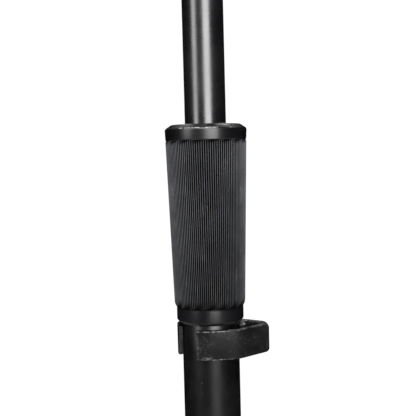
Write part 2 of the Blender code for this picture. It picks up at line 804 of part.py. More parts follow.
def bring_to_metres():
    """Scale every mesh and its place, smooth round pieces and keep their edges sharp."""
    for made in bpy.data.objects:
        made.data.transform(Matrix.Scale(MM, 4))
        made.location = made.location * MM
        made.data.shade_smooth()
        made.data.set_sharp_from_angle(angle=math.radians(30))


clear_scene()
build_mast_tubes()
build_hub()
build_legs()
build_hub_knob()
build_clip()
build_clutch()
build_head()
build_desk()
bring_to_metres()
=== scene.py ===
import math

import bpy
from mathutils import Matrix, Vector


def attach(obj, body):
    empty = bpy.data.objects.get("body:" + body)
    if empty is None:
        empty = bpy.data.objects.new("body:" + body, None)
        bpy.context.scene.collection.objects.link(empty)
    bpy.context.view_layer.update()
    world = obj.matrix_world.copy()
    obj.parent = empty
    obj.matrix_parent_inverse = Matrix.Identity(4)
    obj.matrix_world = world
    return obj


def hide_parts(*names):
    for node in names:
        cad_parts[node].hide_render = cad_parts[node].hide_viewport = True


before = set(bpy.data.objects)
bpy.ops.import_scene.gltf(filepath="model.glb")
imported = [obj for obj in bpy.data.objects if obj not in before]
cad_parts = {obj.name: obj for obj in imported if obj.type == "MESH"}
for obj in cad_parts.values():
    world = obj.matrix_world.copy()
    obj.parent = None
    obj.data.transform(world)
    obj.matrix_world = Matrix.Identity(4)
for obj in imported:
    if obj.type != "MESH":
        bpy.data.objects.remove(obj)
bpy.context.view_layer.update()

# %% [markdown]
# # A music stand with a twist clutch
# The stand is an orchestral one: a folding tripod, a mast of two tubes and a desk that tilts.
# The tubes are joined by a clutch. Its ribbed grip is turned by hand and squeezes the upper
# tube, and a small clip under it holds a cable. The solid model already has every piece at its
# true size, so here each piece is built again with the finer edges and surfaces that the eye
# wants, in the same place.

MM = 0.001
GRIP_FOOT = 600.0  # height of the grip's lower edge, in millimetres

# %% [markdown]
# ## Drawing by extruding a point
# A turned piece and a moulded strip both start as a line. By hand one adds a plane, merges it to
# a single point and extrudes that point from corner to corner. The helper does just that, so
# every outline below is only a list of points in millimetres.

# %% A line drawn by extruding a point
def deselect():
    bpy.ops.object.select_all(action="DESELECT")


def draw_line(name, points):
    """A new piece in edit mode, its points joined one after the other."""
    deselect()
    corners = [Vector(point) * MM for point in points]
    bpy.ops.mesh.primitive_plane_add(size=MM, location=(0, 0, 0))
    piece = bpy.context.object
    piece.name = piece.data.name = name
    bpy.ops.object.mode_set(mode="EDIT")
    bpy.ops.mesh.select_all(action="SELECT")
    bpy.ops.mesh.merge(type="CENTER")
    bpy.ops.transform.translate(value=corners[0])
    for here, there in zip(corners, corners[1:]):
        bpy.ops.mesh.extrude_region_move(TRANSFORM_OT_translate={"value": there - here})
    bpy.ops.mesh.select_all(action="SELECT")
    return piece


def close_up(piece):
    """Merge what meets, turn the faces outwards and leave edit mode."""
    bpy.ops.mesh.select_all(action="SELECT")
    bpy.ops.mesh.remove_doubles(threshold=0.002 * MM)
    bpy.ops.mesh.normals_make_consistent(inside=False)
    bpy.ops.object.mode_set(mode="OBJECT")
    return piece


# %% [markdown]
# ## Turning on a lathe
# Tubes, collars and bushes are round about the mast, so each is half a section spun about Z.
# Spin is used rather than a cylinder because the section carries every step, groove and lip at
# once. A hollow piece has a closed section; a solid one has a section that starts and ends on
# the axis.

# %% A turned piece
def lathe(name, section, steps=128):
    """Spin a (radius, height) section about Z."""
    piece = draw_line(name, [(radius, 0.0, height) for radius, height in section])
    bpy.ops.mesh.spin(steps=steps, angle=math.tau, center=(0, 0, 0), axis=(0, 0, 1))
    return close_up(piece)


def slab(name, outline, low, high):
    """Raise a closed flat outline of (x, y) points along Z."""
    piece = draw_line(name, [(x, y, low) for x, y in outline])
    bpy.ops.mesh.edge_face_add()
    bpy.ops.mesh.select_all(action="SELECT")
    bpy.ops.mesh.extrude_region_move(TRANSFORM_OT_translate={"value": (0, 0, (high - low) * MM)})
    return close_up(piece)


# %% [markdown]
# ## Softening and smoothing
# No real edge is perfectly sharp. The Bevel modifier rounds every edge above an angle, which is
# what catches a thin line of light on a moulding. Smooth shading then hides the facets of round
# faces and keeps the true edges.

# %% Edges and shading
def only(piece):
    deselect()
    piece.select_set(True)
    bpy.context.view_layer.objects.active = piece


def soften(piece, width, segments=3, angle=35):
    only(piece)
    bpy.ops.object.modifier_add(type="BEVEL")
    bevel = piece.modifiers[-1]
    bevel.width = width * MM
    bevel.segments = segments
    bevel.limit_method = "ANGLE"
    bevel.angle_limit = math.radians(angle)
    bpy.ops.object.modifier_apply(modifier=bevel.name)
    return piece


def cut_with(piece, tool, operation="DIFFERENCE"):
    only(piece)
    bpy.ops.object.modifier_add(type="BOOLEAN")
    step = piece.modifiers[-1]
    step.operation = operation
    step.solver = "EXACT"
    step.object = tool
    bpy.ops.object.modifier_apply(modifier=step.name)
    bpy.data.objects.remove(tool, do_unlink=True)
    return piece


def turn(piece, matrix):
    """Put a place and a turn into the mesh, so the object itself stays at the origin."""
    piece.data.transform(matrix)
    return piece


def place(millimetres):
    return Matrix.Translation(Vector(millimetres) * MM)


# %% [markdown]
# ## Fitting a piece to the stand
# A finished piece gets its material, stands in for the solid it was drawn from, and rides on the
# body that carries that solid, so it follows when the stand is folded, raised or tilted.

# %% Fitting a piece
made = []


def fit(piece, body, nodes, material, angle=30):
    only(piece)
    bpy.ops.object.shade_smooth_by_angle(angle=math.radians(angle))
    piece.data.materials.clear()
    piece.data.materials.append(material)
    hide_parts(*nodes)
    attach(piece, body)
    made.append(piece.name)


# %% [markdown]
# ## Points on arcs and rounded corners
# Two small sums are used again and again: the points of an arc, and the arc that rounds the
# corner between two straight runs.

# %% Arcs and rounded corners
def arc(centre, radius, start, end, steps):
    points = []
    for step in range(steps + 1):
        angle = math.radians(start + (end - start) * step / steps)
        points.append((centre[0] + radius * math.cos(angle), centre[1] + radius * math.sin(angle)))
    return points


def rounded(points, radii, steps=5):
    """The outline with each corner rounded by its own radius; a radius of 0 keeps it."""
    result = []
    count = len(points)
    for index, radius in enumerate(radii):
        corner = Vector(points[index])
        if radius == 0:
            result.append(tuple(corner))
            continue
        before = (Vector(points[index - 1]) - corner).normalized()
        after = (Vector(points[(index + 1) % count]) - corner).normalized()
        half = before.angle(after) / 2
        centre = corner + (before + after).normalized() * (radius / math.sin(half))
        first = corner + before * (radius / math.tan(half)) - centre
        last = corner + after * (radius / math.tan(half)) - centre
        for step in range(steps + 1):
            spoke = first.lerp(last, step / steps).normalized() * radius
            result.append(tuple(centre + spoke))
    return result


# %% [markdown]
# # Finishes
# The stand is black all over, so it is the surface that tells its pieces apart: semi-gloss paint
# on the upper tube, satin powder coat below, polished plastic at the collar with painted highlights
# on its chamfer, matt ribbed rubber with painted shade in its valleys, and a worn moulded clip with
# painted highlights on its edges. Four effects are shared by these finishes. Each is built once as a
# node group and placed in the materials with its own values.

# %% A node group with named sockets
def new_group(name, inputs, outputs):
    group = bpy.data.node_groups.new(name, "ShaderNodeTree")
    for socket, value in inputs:
        made_socket = group.interface.new_socket(socket, in_out="INPUT", socket_type="NodeSocketFloat")
        made_socket.default_value = value
    for socket in outputs:
        group.interface.new_socket(socket, in_out="OUTPUT", socket_type="NodeSocketFloat")
    return group, group.nodes.new("NodeGroupInput"), group.nodes.new("NodeGroupOutput")


def add(tree, kind, settings=(), inputs=()):
    """A node with its settings, its plain values and its links."""
    node = tree.nodes.new(kind)
    for key, value in dict(settings).items():
        setattr(node, key, value)
    for key, value in dict(inputs).items():
        if isinstance(value, bpy.types.NodeSocket):
            tree.links.new(value, node.inputs[key])
        else:
            node.inputs[key].default_value = value
    return node


def ramp(tree, value, low, high):
    """Rise smoothly from 0 at low to 1 at high."""
    node = add(tree, "ShaderNodeMapRange", {"interpolation_type": "SMOOTHSTEP"}, {
        "Value": value, "From Min": low, "From Max": high,
    })
    return node.outputs["Result"]


def sums(tree, operation, first, second):
    return add(tree, "ShaderNodeMath", {"operation": operation}, {0: first, 1: second}).outputs[0]


# %% [markdown]
# ## Fine grain
# Paint and moulded plastic have a skin of tiny bumps. Two noises of different size are added:
# the coarse one varies the gloss from place to place and the fine one gives the height.

# %% The grain group
def build_grain():
    group, given, out = new_group("surface_grain", [("Scale", 1500.0)], ["Height", "Patch"])
    where = add(group, "ShaderNodeTexCoord").outputs["Object"]
    fine = add(group, "ShaderNodeTexNoise", {}, {
        "Vector": where, "Scale": given.outputs["Scale"], "Detail": 3.0, "Roughness": 0.6,
    })
    broad_scale = sums(group, "MULTIPLY", given.outputs["Scale"], 0.04)
    broad = add(group, "ShaderNodeTexNoise", {}, {
        "Vector": where, "Scale": broad_scale, "Detail": 4.0, "Roughness": 0.55,
    })
    group.links.new(fine.outputs["Fac"], out.inputs["Height"])
    group.links.new(broad.outputs["Fac"], out.inputs["Patch"])
    return group


GRAIN = build_grain()

# %% [markdown]
# ## Dust
# Dust is sparse light specks, thicker where air lets it settle. Cells of a Voronoi pattern are
# whittled down to dots, and a slow noise leaves only some of them.

# %% The dust group
def build_dust():
    group, given, out = new_group(
        "settled_dust", [("Scale", 700.0), ("Speck", 0.16), ("Spread", 0.5)], ["Mask"]
    )
    where = add(group, "ShaderNodeTexCoord").outputs["Object"]
    cells = add(group, "ShaderNodeTexVoronoi", {}, {
        "Vector": where, "Scale": given.outputs["Scale"], "Randomness": 1.0,
    })
    small = sums(group, "SUBTRACT", given.outputs["Speck"], cells.outputs["Distance"])
    dots = sums(group, "MULTIPLY", small, 20.0)
    lone = add(group, "ShaderNodeSeparateColor", {}, {"Color": cells.outputs["Color"]})
    kept = sums(group, "LESS_THAN", lone.outputs["Red"], given.outputs["Spread"])
    drift = add(group, "ShaderNodeTexNoise", {}, {"Vector": where, "Scale": 55.0, "Detail": 3.0})
    settled = ramp(group, drift.outputs["Fac"], 0.42, 0.62)
    both = sums(group, "MULTIPLY", kept, settled)
    mask = add(group, "ShaderNodeMath", {"operation": "MULTIPLY", "use_clamp": True}, {0: dots, 1: both})
    group.links.new(mask.outputs[0], out.inputs["Mask"])
    return group


DUST = build_dust()

# %% [markdown]
# ## Scuffs
# Handling leaves short pale scratches. A noise stretched along one direction and cut to its
# peaks gives fine streaks; a second noise breaks them up. The stretch is set by the Along and
# Across values, so the same group serves streaks that run up a tube or round a clip.

# %% The scuff group
def build_scuffs():
    group, given, out = new_group(
        "handling_scuffs", [("Across", 900.0), ("Along", 60.0), ("Cover", 0.6)], ["Mask"]
    )
    where = add(group, "ShaderNodeTexCoord").outputs["Object"]
    stretch = add(group, "ShaderNodeCombineXYZ", {}, {
        "X": given.outputs["Along"], "Y": given.outputs["Along"], "Z": given.outputs["Across"],
    })
    turned = add(group, "ShaderNodeVectorMath", {"operation": "MULTIPLY"}, {
        0: where, 1: stretch.outputs["Vector"],
    })
    streak = add(group, "ShaderNodeTexNoise", {}, {
        "Vector": turned.outputs["Vector"], "Scale": 1.0, "Detail": 5.0, "Roughness": 0.6,
    })
    lines = ramp(group, streak.outputs["Fac"], given.outputs["Cover"], 0.78)
    patches = add(group, "ShaderNodeTexNoise", {}, {"Vector": where, "Scale": 130.0, "Detail": 4.0})
    worn = ramp(group, patches.outputs["Fac"], 0.44, 0.6)
    mask = sums(group, "MULTIPLY", lines, worn)
    group.links.new(mask, out.inputs["Mask"])
    return group


SCUFFS = build_scuffs()

# %% [markdown]
# ## Worn edges
# Paint rubs thin on an outer edge first. Pointiness tells how sharply the surface bends at each
# point, and noise makes the wear uneven.

# %% The edge wear group
def build_edges():
    group, given, out = new_group("edge_wear", [("Start", 0.52), ("Full", 0.6)], ["Mask"])
    shape = add(group, "ShaderNodeNewGeometry")
    where = add(group, "ShaderNodeTexCoord").outputs["Object"]
    rub = add(group, "ShaderNodeTexNoise", {}, {"Vector": where, "Scale": 450.0, "Detail": 4.0})
    edge = add(group, "ShaderNodeMapRange", {}, {
        "Value": shape.outputs["Pointiness"],
        "From Min": given.outputs["Start"],
        "From Max": given.outputs["Full"],
    })
    uneven = ramp(group, rub.outputs["Fac"], 0.3, 0.62)
    mask = sums(group, "MULTIPLY", edge.outputs["Result"], uneven)
    group.links.new(mask, out.inputs["Mask"])
    return group


EDGES = build_edges()

# %% [markdown]
# ## Painted highlights on edges
# Thin bright lines are painted into the colour on the collar's chamfer and on the edges of the
# clip, where lamps glint. Each painted highlight is a thin band of height, and a colour ramp
# across the stand says where along it the band shows.

# %% The painted highlight bands
BAND_FADE = 0.4


def build_bands(name, bands, reach):
    """bands: (height above the grip's foot, half thickness, spans of (from x, to x, strength)).

    All are in millimetres, and x runs from -reach to reach.
    """
    group, _, out = new_group(name, [], ["Mask"])
    where = add(group, "ShaderNodeTexCoord").outputs["Object"]
    split = add(group, "ShaderNodeSeparateXYZ", {}, {"Vector": where})
    sideways = add(group, "ShaderNodeMapRange", {}, {
        "Value": split.outputs["X"], "From Min": -reach * MM, "From Max": reach * MM,
    }).outputs["Result"]
    # Only the side that faces the front gets the painted highlights.
    front = ramp(group, sums(group, "MULTIPLY", split.outputs["Y"], -1.0), -8.0 * MM, -2.0 * MM)
    crumbs = add(group, "ShaderNodeTexNoise", {}, {"Vector": where, "Scale": 1300.0, "Detail": 4.0})
    uneven = ramp(group, crumbs.outputs["Fac"], 0.36, 0.62)
    total = None
    for centre, thick, spans in bands:
        offset = sums(group, "SUBTRACT", split.outputs["Z"], (GRIP_FOOT + centre) * MM)
        away = sums(group, "ABSOLUTE", offset, 0.0)
        band = add(group, "ShaderNodeMapRange", {"interpolation_type": "SMOOTHSTEP"}, {
            "Value": away, "From Min": thick * MM, "From Max": 0.3 * thick * MM,
        }).outputs["Result"]
        shown = add(group, "ShaderNodeValToRGB", {}, {"Fac": sideways})
        stops = shown.color_ramp.elements
        stops[0].color = stops[1].color = (0, 0, 0, 1)
        for low, high, strength in spans:
            rise = ((low - BAND_FADE, 0.0), (low, strength))
            fall = ((high, strength), (high + BAND_FADE, 0.0))
            for spot, level in rise + fall:
                stop = stops.new((spot + reach) / (2.0 * reach))
                stop.color = (level, level, level, 1)
        part = sums(group, "MULTIPLY", band, shown.outputs["Color"])
        total = part if total is None else sums(group, "MAXIMUM", total, part)
    mask = sums(group, "MULTIPLY", sums(group, "MULTIPLY", total, uneven), front)
    group.links.new(mask, out.inputs["Mask"])
    return group


# Painted highlights: thin bright lines along the collar's chamfer edges, on the chamfer and near the top,
# on the side facing the front.
RIM_PAINTED_HIGHLIGHTS = build_bands("rim_painted_highlights", (
    (74.75, 0.22, ((-9.6, -4.6, 0.5), (-3.7, -1.9, 0.55), (-0.4, 4.4, 0.6), (9.0, 11.0, 0.2))),
    (75.7, 0.2, ((4.2, 8.8, 0.4),)),
    (76.26, 0.12, ((2.0, 8.4, 0.3), (-8.0, -5.0, 0.15))),
), 16.0)
# Painted highlights: bright lines along the top and bottom edges of the clip's front, on the loop's nose
# and top, and a faint one down the left end of the front strip.
CLIP_PAINTED_HIGHLIGHTS = build_bands("clip_painted_highlights", (
    (-1.95, 0.3, ((-5.4, 7.0, 0.24),)),
    (-1.55, 0.35, ((7.0, 13.5, 0.16), (15.5, 21.5, 0.06))),
    (-1.05, 0.5, ((10.6, 14.2, 0.4), (15.2, 22.5, 0.12))),
    (-12.9, 0.4, ((-5.6, -1.6, 0.12), (-0.6, 5.2, 0.26), (6.1, 8.5, 0.12))),
    (-12.3, 0.8, ((-3.2, 0.2, 0.1),)),
    (-7.3, 5.6, ((-5.5, -4.9, 0.05),)),
), 25.0)

# %% [markdown]
# ## One recipe for all the finishes
# Every finish is the same recipe with other amounts: a base colour that drifts a little, wear
# and dust laid over it, on some painted highlights and painted shade too, a gloss that follows
# them, and a bump for the skin. What stays the same all over a surface is set on the shader itself.

# %% The recipe
def grouped(tree, group, **values):
    node = tree.nodes.new("ShaderNodeGroup")
    node.node_tree = group
    for key, value in values.items():
        node.inputs[key].default_value = value
    return node


def blend_colour(tree, amount, first, second):
    node = add(tree, "ShaderNodeMix", {"data_type": "RGBA"}, {"Factor": amount})
    for socket, value in ((node.inputs[6], first), (node.inputs[7], second)):
        if isinstance(value, bpy.types.NodeSocket):
            tree.links.new(value, socket)
        else:
            socket.default_value = (*value, 1.0)
    return node.outputs[2]


def scaled(tree, mask, amount):
    return sums(tree, "MULTIPLY", mask, amount)


def make_finish(name, dark, light, gloss, grain=1500.0, bump=0.1, depth=0.02, ior=1.5,
                metallic=0.0, wear=0.0, worn=(0.2, 0.2, 0.2), scuff=0.0, scuffed=(0.2, 0.2, 0.2),
                across=900.0, along=60.0, cover=0.6, dust=0.0, speck=0.16, spread=0.5,
                dust_scale=700.0, start=0.52, full=0.6, shade=None, painted_bands=None, polished=None):
    """gloss is (smoothest, roughest); depth is the height of the skin in millimetres.

    A group of bands, if given, paints highlights into the colour; shade names an attribute that is 1
    where shade is painted into the valleys; and polished gives the two heights between which a clear gloss
    rises.
    """
    material = bpy.data.materials.new(name)
    material.use_nodes = True
    tree = material.node_tree
    shader = tree.nodes["Principled BSDF"]
    shader.inputs["IOR"].default_value = ior
    shader.inputs["Metallic"].default_value = metallic
    skin = grouped(tree, GRAIN, Scale=grain)
    patch = ramp(tree, skin.outputs["Patch"], 0.3, 0.7)
    colour = blend_colour(tree, patch, dark, light)
    span = add(tree, "ShaderNodeMapRange", {}, {
        "Value": patch, "To Min": gloss[0], "To Max": gloss[1],
    })
    rough = span.outputs["Result"]
    if wear:
        rubbed = scaled(tree, grouped(tree, EDGES, Start=start, Full=full).outputs["Mask"], wear)
        colour = blend_colour(tree, rubbed, colour, worn)
    if scuff:
        marks = grouped(tree, SCUFFS, Across=across, Along=along, Cover=cover)
        marked = scaled(tree, marks.outputs["Mask"], scuff)
        colour = blend_colour(tree, marked, colour, scuffed)
        rough = sums(tree, "ADD", rough, scaled(tree, marked, 0.25))
    if dust:
        specks = grouped(tree, DUST, Scale=dust_scale, Speck=speck, Spread=spread)
        dusty = scaled(tree, specks.outputs["Mask"], dust)
        colour = blend_colour(tree, dusty, colour, (0.55, 0.55, 0.54))
        rough = sums(tree, "ADD", rough, scaled(tree, dusty, 0.3))
    if polished:
        where = add(tree, "ShaderNodeTexCoord").outputs["Object"]
        level = add(tree, "ShaderNodeSeparateXYZ", {}, {"Vector": where}).outputs["Z"]
        tree.links.new(ramp(tree, level, polished[0] * MM, polished[1] * MM), shader.inputs["Coat Weight"])
        shader.inputs["Coat Roughness"].default_value = 0.3
    # Painted highlights: a near-white colour laid on the thin bands.
    if painted_bands:
        painted_glint = grouped(tree, painted_bands).outputs["Mask"]
        colour = blend_colour(tree, painted_glint, colour, (0.85, 0.85, 0.86))
    # Painted shade: where the attribute is high the colour goes almost black and the surface rougher.
    if shade:
        painted_shade_amount = add(tree, "ShaderNodeAttribute", {"attribute_name": shade}).outputs["Fac"]
        sunk = ramp(tree, painted_shade_amount, 0.02, 0.42)
        colour = blend_colour(tree, sunk, colour, (0.0005, 0.0005, 0.0005))
        rough = sums(tree, "ADD", rough, scaled(tree, sunk, 0.6))
    tree.links.new(colour, shader.inputs["Base Color"])
    tree.links.new(rough, shader.inputs["Roughness"])
    skin_bump = add(tree, "ShaderNodeBump", {}, {
        "Strength": bump, "Distance": depth * MM, "Height": skin.outputs["Height"],
    })
    tree.links.new(skin_bump.outputs["Normal"], shader.inputs["Normal"])
    return material


# %% [markdown]
# ## The finishes of this stand
# The upper tube is the glossiest paint, because the clutch slides on it. The lower tube and the
# desk are powder coated, the castings have a coarser paint, and the rubber is the dullest.

# %% All finishes
UPPER_PAINT = make_finish(
    "upper_tube_paint", (0.004, 0.004, 0.005), (0.007, 0.007, 0.008), (0.25, 0.31), ior=1.95,
    grain=1800.0, bump=0.12, depth=0.004, scuff=0.2, scuffed=(0.10, 0.10, 0.10),
    across=60.0, along=1300.0, cover=0.62, dust=0.25, spread=0.1, dust_scale=420.0, speck=0.1)
LOWER_PAINT = make_finish(
    "lower_tube_powder_coat", (0.002, 0.002, 0.002), (0.005, 0.005, 0.005), (0.34, 0.44), ior=1.27,
    polished=(585.0, 597.0),
    grain=2600.0, bump=0.35, depth=0.01, scuff=0.2, scuffed=(0.06, 0.06, 0.06),
    across=70.0, along=1100.0, dust=0.25, spread=0.12, dust_scale=500.0, speck=0.1)
# The collar's finish carries the painted highlights of its chamfer.
COLLAR_PLASTIC = make_finish(
    "polished_collar", (0.003, 0.003, 0.004), (0.006, 0.006, 0.007), (0.24, 0.34), ior=1.62,
    grain=1400.0, bump=0.1, depth=0.006, scuff=0.35, scuffed=(0.10, 0.10, 0.10), across=700.0,
    along=80.0, dust=0.3, spread=0.1, painted_bands=RIM_PAINTED_HIGHLIGHTS)
# The rubber is painted with shade from the sleeve's attribute: black in the valleys, dark at the rib ends,
# and darker towards the bottom.
RIB_RUBBER = make_finish(
    "ribbed_rubber", (0.092, 0.094, 0.102), (0.138, 0.141, 0.153), (0.4, 0.5), ior=1.2, grain=1700.0,
    bump=0.4, depth=0.03, dust=0.5, spread=0.12, dust_scale=900.0, speck=0.13, shade="valley_painted_shade",
    scuff=0.7, scuffed=(0.34, 0.35, 0.37), across=45.0, along=1300.0, cover=0.5)
NECK_PLASTIC = make_finish(
    "satin_neck", (0.002, 0.002, 0.003), (0.005, 0.005, 0.006), (0.3, 0.4), ior=1.38,
    grain=1500.0, bump=0.15, depth=0.008, dust=0.3, spread=0.15, scuff=0.3, scuffed=(0.06, 0.06, 0.06))
# The clip's finish carries the painted highlights of its edges.
CLIP_PLASTIC = make_finish(
    "worn_clip", (0.003, 0.003, 0.0035), (0.007, 0.007, 0.0075), (0.38, 0.5), ior=1.28, grain=2600.0,
    bump=0.5, depth=0.025, wear=0.2, worn=(0.12, 0.12, 0.13), start=0.54, full=0.64,
    scuff=0.7, scuffed=(0.055, 0.055, 0.06), across=2200.0, along=1100.0, cover=0.44, dust=0.3,
    spread=0.15, speck=0.12, painted_bands=CLIP_PAINTED_HIGHLIGHTS)
CAST_PAINT = make_finish(
    "cast_paint", (0.008, 0.008, 0.009), (0.017, 0.017, 0.018), (0.42, 0.56), grain=900.0,
    bump=0.6, depth=0.08, wear=0.6, worn=(0.20, 0.20, 0.20), scuff=0.4,
    scuffed=(0.12, 0.12, 0.12), across=300.0, along=120.0, dust=0.5, spread=0.2, dust_scale=350.0)
LEG_PAINT = make_finish(
    "leg_paint", (0.007, 0.007, 0.008), (0.014, 0.014, 0.015), (0.34, 0.48), grain=1500.0,
    bump=0.4, depth=0.04, wear=0.7, worn=(0.22, 0.22, 0.22), scuff=0.5,
    scuffed=(0.14, 0.14, 0.14), across=420.0, along=70.0, cover=0.56, dust=0.6, spread=0.25,
    dust_scale=260.0, speck=0.14)
DESK_COAT = make_finish(
    "desk_powder_coat", (0.009, 0.009, 0.010), (0.013, 0.013, 0.014), (0.41, 0.46), grain=1900.0,
    bump=0.5, depth=0.04, wear=0.5, worn=(0.2, 0.2, 0.2), scuff=0.4,
    scuffed=(0.07, 0.07, 0.07), across=420.0, along=60.0, cover=0.6, dust=0.45, spread=0.2,
    dust_scale=240.0, speck=0.12)
KNOB_PLASTIC = make_finish(
    "knob_plastic", (0.014, 0.014, 0.015), (0.028, 0.028, 0.030), (0.4, 0.55), grain=1200.0,
    bump=0.4, depth=0.03, wear=0.7, worn=(0.2, 0.2, 0.2), scuff=0.4, scuffed=(0.12, 0.12, 0.12),
    dust=0.4, spread=0.2)
FOOT_RUBBER = make_finish(
    "foot_rubber", (0.012, 0.012, 0.012), (0.030, 0.029, 0.028), (0.7, 0.9), grain=1100.0,
    bump=0.5, depth=0.06, wear=0.5, worn=(0.12, 0.12, 0.115), scuff=0.5,
    scuffed=(0.13, 0.125, 0.12), across=300.0, along=150.0, dust=0.8, spread=0.35, dust_scale=420.0)
NYLON = make_finish(
    "natural_nylon", (0.50, 0.48, 0.42), (0.62, 0.60, 0.54), (0.4, 0.55), grain=900.0, bump=0.3,
    depth=0.02, scuff=0.4, scuffed=(0.25, 0.24, 0.22), dust=0.2)
FELT = make_finish(
    "pressed_felt", (0.05, 0.05, 0.05), (0.12, 0.12, 0.12), (0.9, 1.0), grain=2400.0, bump=0.9,
    depth=0.15, dust=0.4)
ZINC = make_finish(
    "zinc_plate", (0.42, 0.43, 0.45), (0.60, 0.61, 0.62), (0.25, 0.45), grain=700.0, bump=0.2,
    depth=0.01, metallic=1.0, scuff=0.4, scuffed=(0.25, 0.25, 0.25), dust=0.2)
DARK_BOLT = make_finish(
    "blackened_steel", (0.06, 0.06, 0.065), (0.12, 0.12, 0.125), (0.3, 0.45), grain=1000.0,
    bump=0.3, depth=0.02, metallic=1.0, wear=0.6, worn=(0.35, 0.35, 0.35), scuff=0.3,
    scuffed=(0.25, 0.25, 0.25), dust=0.3)
print("finishes:", len(bpy.data.materials))

# %% [markdown]
# # The mast
# The upper tube is drawn steel, 15.9 mm across, cut square with a small chamfer. The lower one is
# 22.2 mm. Both are turned from a thin closed section, so they are true tubes with a bore.

# %% Both tubes
UPPER_R = 7.95
LOWER_R = 11.1
WALL = 1.2


def tube(name, radius, bottom, top):
    inner = radius - WALL
    section = [(inner, bottom), (radius, bottom), (radius, top), (inner, top)]
    outline = rounded(section, [0.25] * 4, 3)
    return lathe(name, outline + outline[:1], 192)


fit(tube("upper_tube_fine", UPPER_R, 328.6, 985.0), "mast", ["upper_tube"], UPPER_PAINT)
fit(tube("lower_tube_fine", LOWER_R, 4.0, 634.0), "base", ["lower_tube"], LOWER_PAINT)

# %% [markdown]
# ## The top collar
# A polished ring closes the grip. Its top is flat, then a wide chamfer falls to the largest
# radius, and the side leans in slightly below. The edges are rounded in the section itself, so
# that each has its own radius: wide at the chamfer, where it catches a faint line of light that a painted
# highlight makes bright.

# %% The collar
def clutch_section(points):
    return [(radius, GRIP_FOOT + height) for radius, height in points]


collar_points = clutch_section([
    (10.5, 70.3), (15.62, 70.3), (15.84, 74.6), (13.3, 76.3), (8.45, 76.3), (8.45, 73.5), (10.5, 73.5),
])
collar_outline = rounded(collar_points, [0, 0.3, 1.2, 1.2, 0.4, 0, 0], 8)
collar = lathe("top_collar_fine", collar_outline + collar_outline[:1], 192)
fit(collar, "grip", ["top_collar"], COLLAR_PLASTIC)

# %% [markdown]
# ## The smooth neck
# Under the ribs the inner moulding of the grip shows as a short satin neck. It is turned with
# the bore and the inner cone that squeezes the collet.

# %% The neck
core_points = clutch_section([
    (11.5, 0.0), (12.2, 0.0), (13.04, 1.1), (13.04, 5.9), (12.6, 5.9), (12.6, 68.0), (10.0, 68.0),
    (11.5, 54.9),
])
core_outline = rounded(core_points, [0, 0.2, 0.5, 0.2, 0, 0, 0, 0], 5)
core = lathe("grip_neck_fine", core_outline + core_outline[:1], 160)
fit(core, "grip", ["grip_core"], NECK_PLASTIC)

# %% [markdown]
# ## The ribbed sleeve
# The sleeve tapers downwards and has 114 fine ribs. A cylinder with a bump map would have a
# smooth outline, so the ribs are modelled: a circle with eight points to a rib, the points of its
# valleys drawn in, is extruded up the sleeve ring by ring. Each ring is given its own radius for
# the taper, and the ribs run out bluntly at both ends. A mesh attribute keeps how deep each
# point lies, with painted shade added at both ends and a fade that darkens towards the bottom;
# from it shade is painted into the rubber's valleys.

# %% The sleeve
RIBS = 114
RIB_POINTS = 8
RIB_DEPTH = 0.62
RIB_SHAPE = (0.0, 0.16, 0.75, 1.0, 1.0, 1.0, 0.75, 0.16)
TAPER_FOOT, TAPER_TOP = 8.6, 70.0  # heights between which the sleeve tapers
TAPER_FOOT_R, TAPER_TOP_R = 13.86, 15.66
SLEEVE_BORE_SHARE = 12.9 / 15.3  # the bore against the top ring
SLEEVE_LENGTH = 64.08
SLEEVE_HEIGHTS = (6.2, 6.6, 7.4, 8.6, 10.0, 25.0, 40.0, 55.0, 68.4, 69.5, 70.0, 70.28)
# At the blunt ends a height has its own radius and share of the rib's depth.
SLEEVE_ENDS = {6.2: (13.2, 0.3), 6.6: (13.5, 0.7), 7.4: (13.75, 1), 70.0: (15.55, 1), 70.28: (15.4, 0.9)}
# Painted shade at the blunt ends: under the collar at the top, and on the rib ends at the foot.
END_SHADE = {6.2: 0.4, 6.6: 0.36, 7.4: 0.22, 8.6: 0.06, 69.5: 0.25, 70.0: 0.4, 70.28: 0.4}


def select_where(piece, test):
    """Select the points that pass the test, in edit mode."""
    bpy.ops.mesh.select_all(action="DESELECT")
    bpy.ops.object.mode_set(mode="OBJECT")
    for point in piece.data.vertices:
        point.select = test(point)
    bpy.ops.object.mode_set(mode="EDIT")


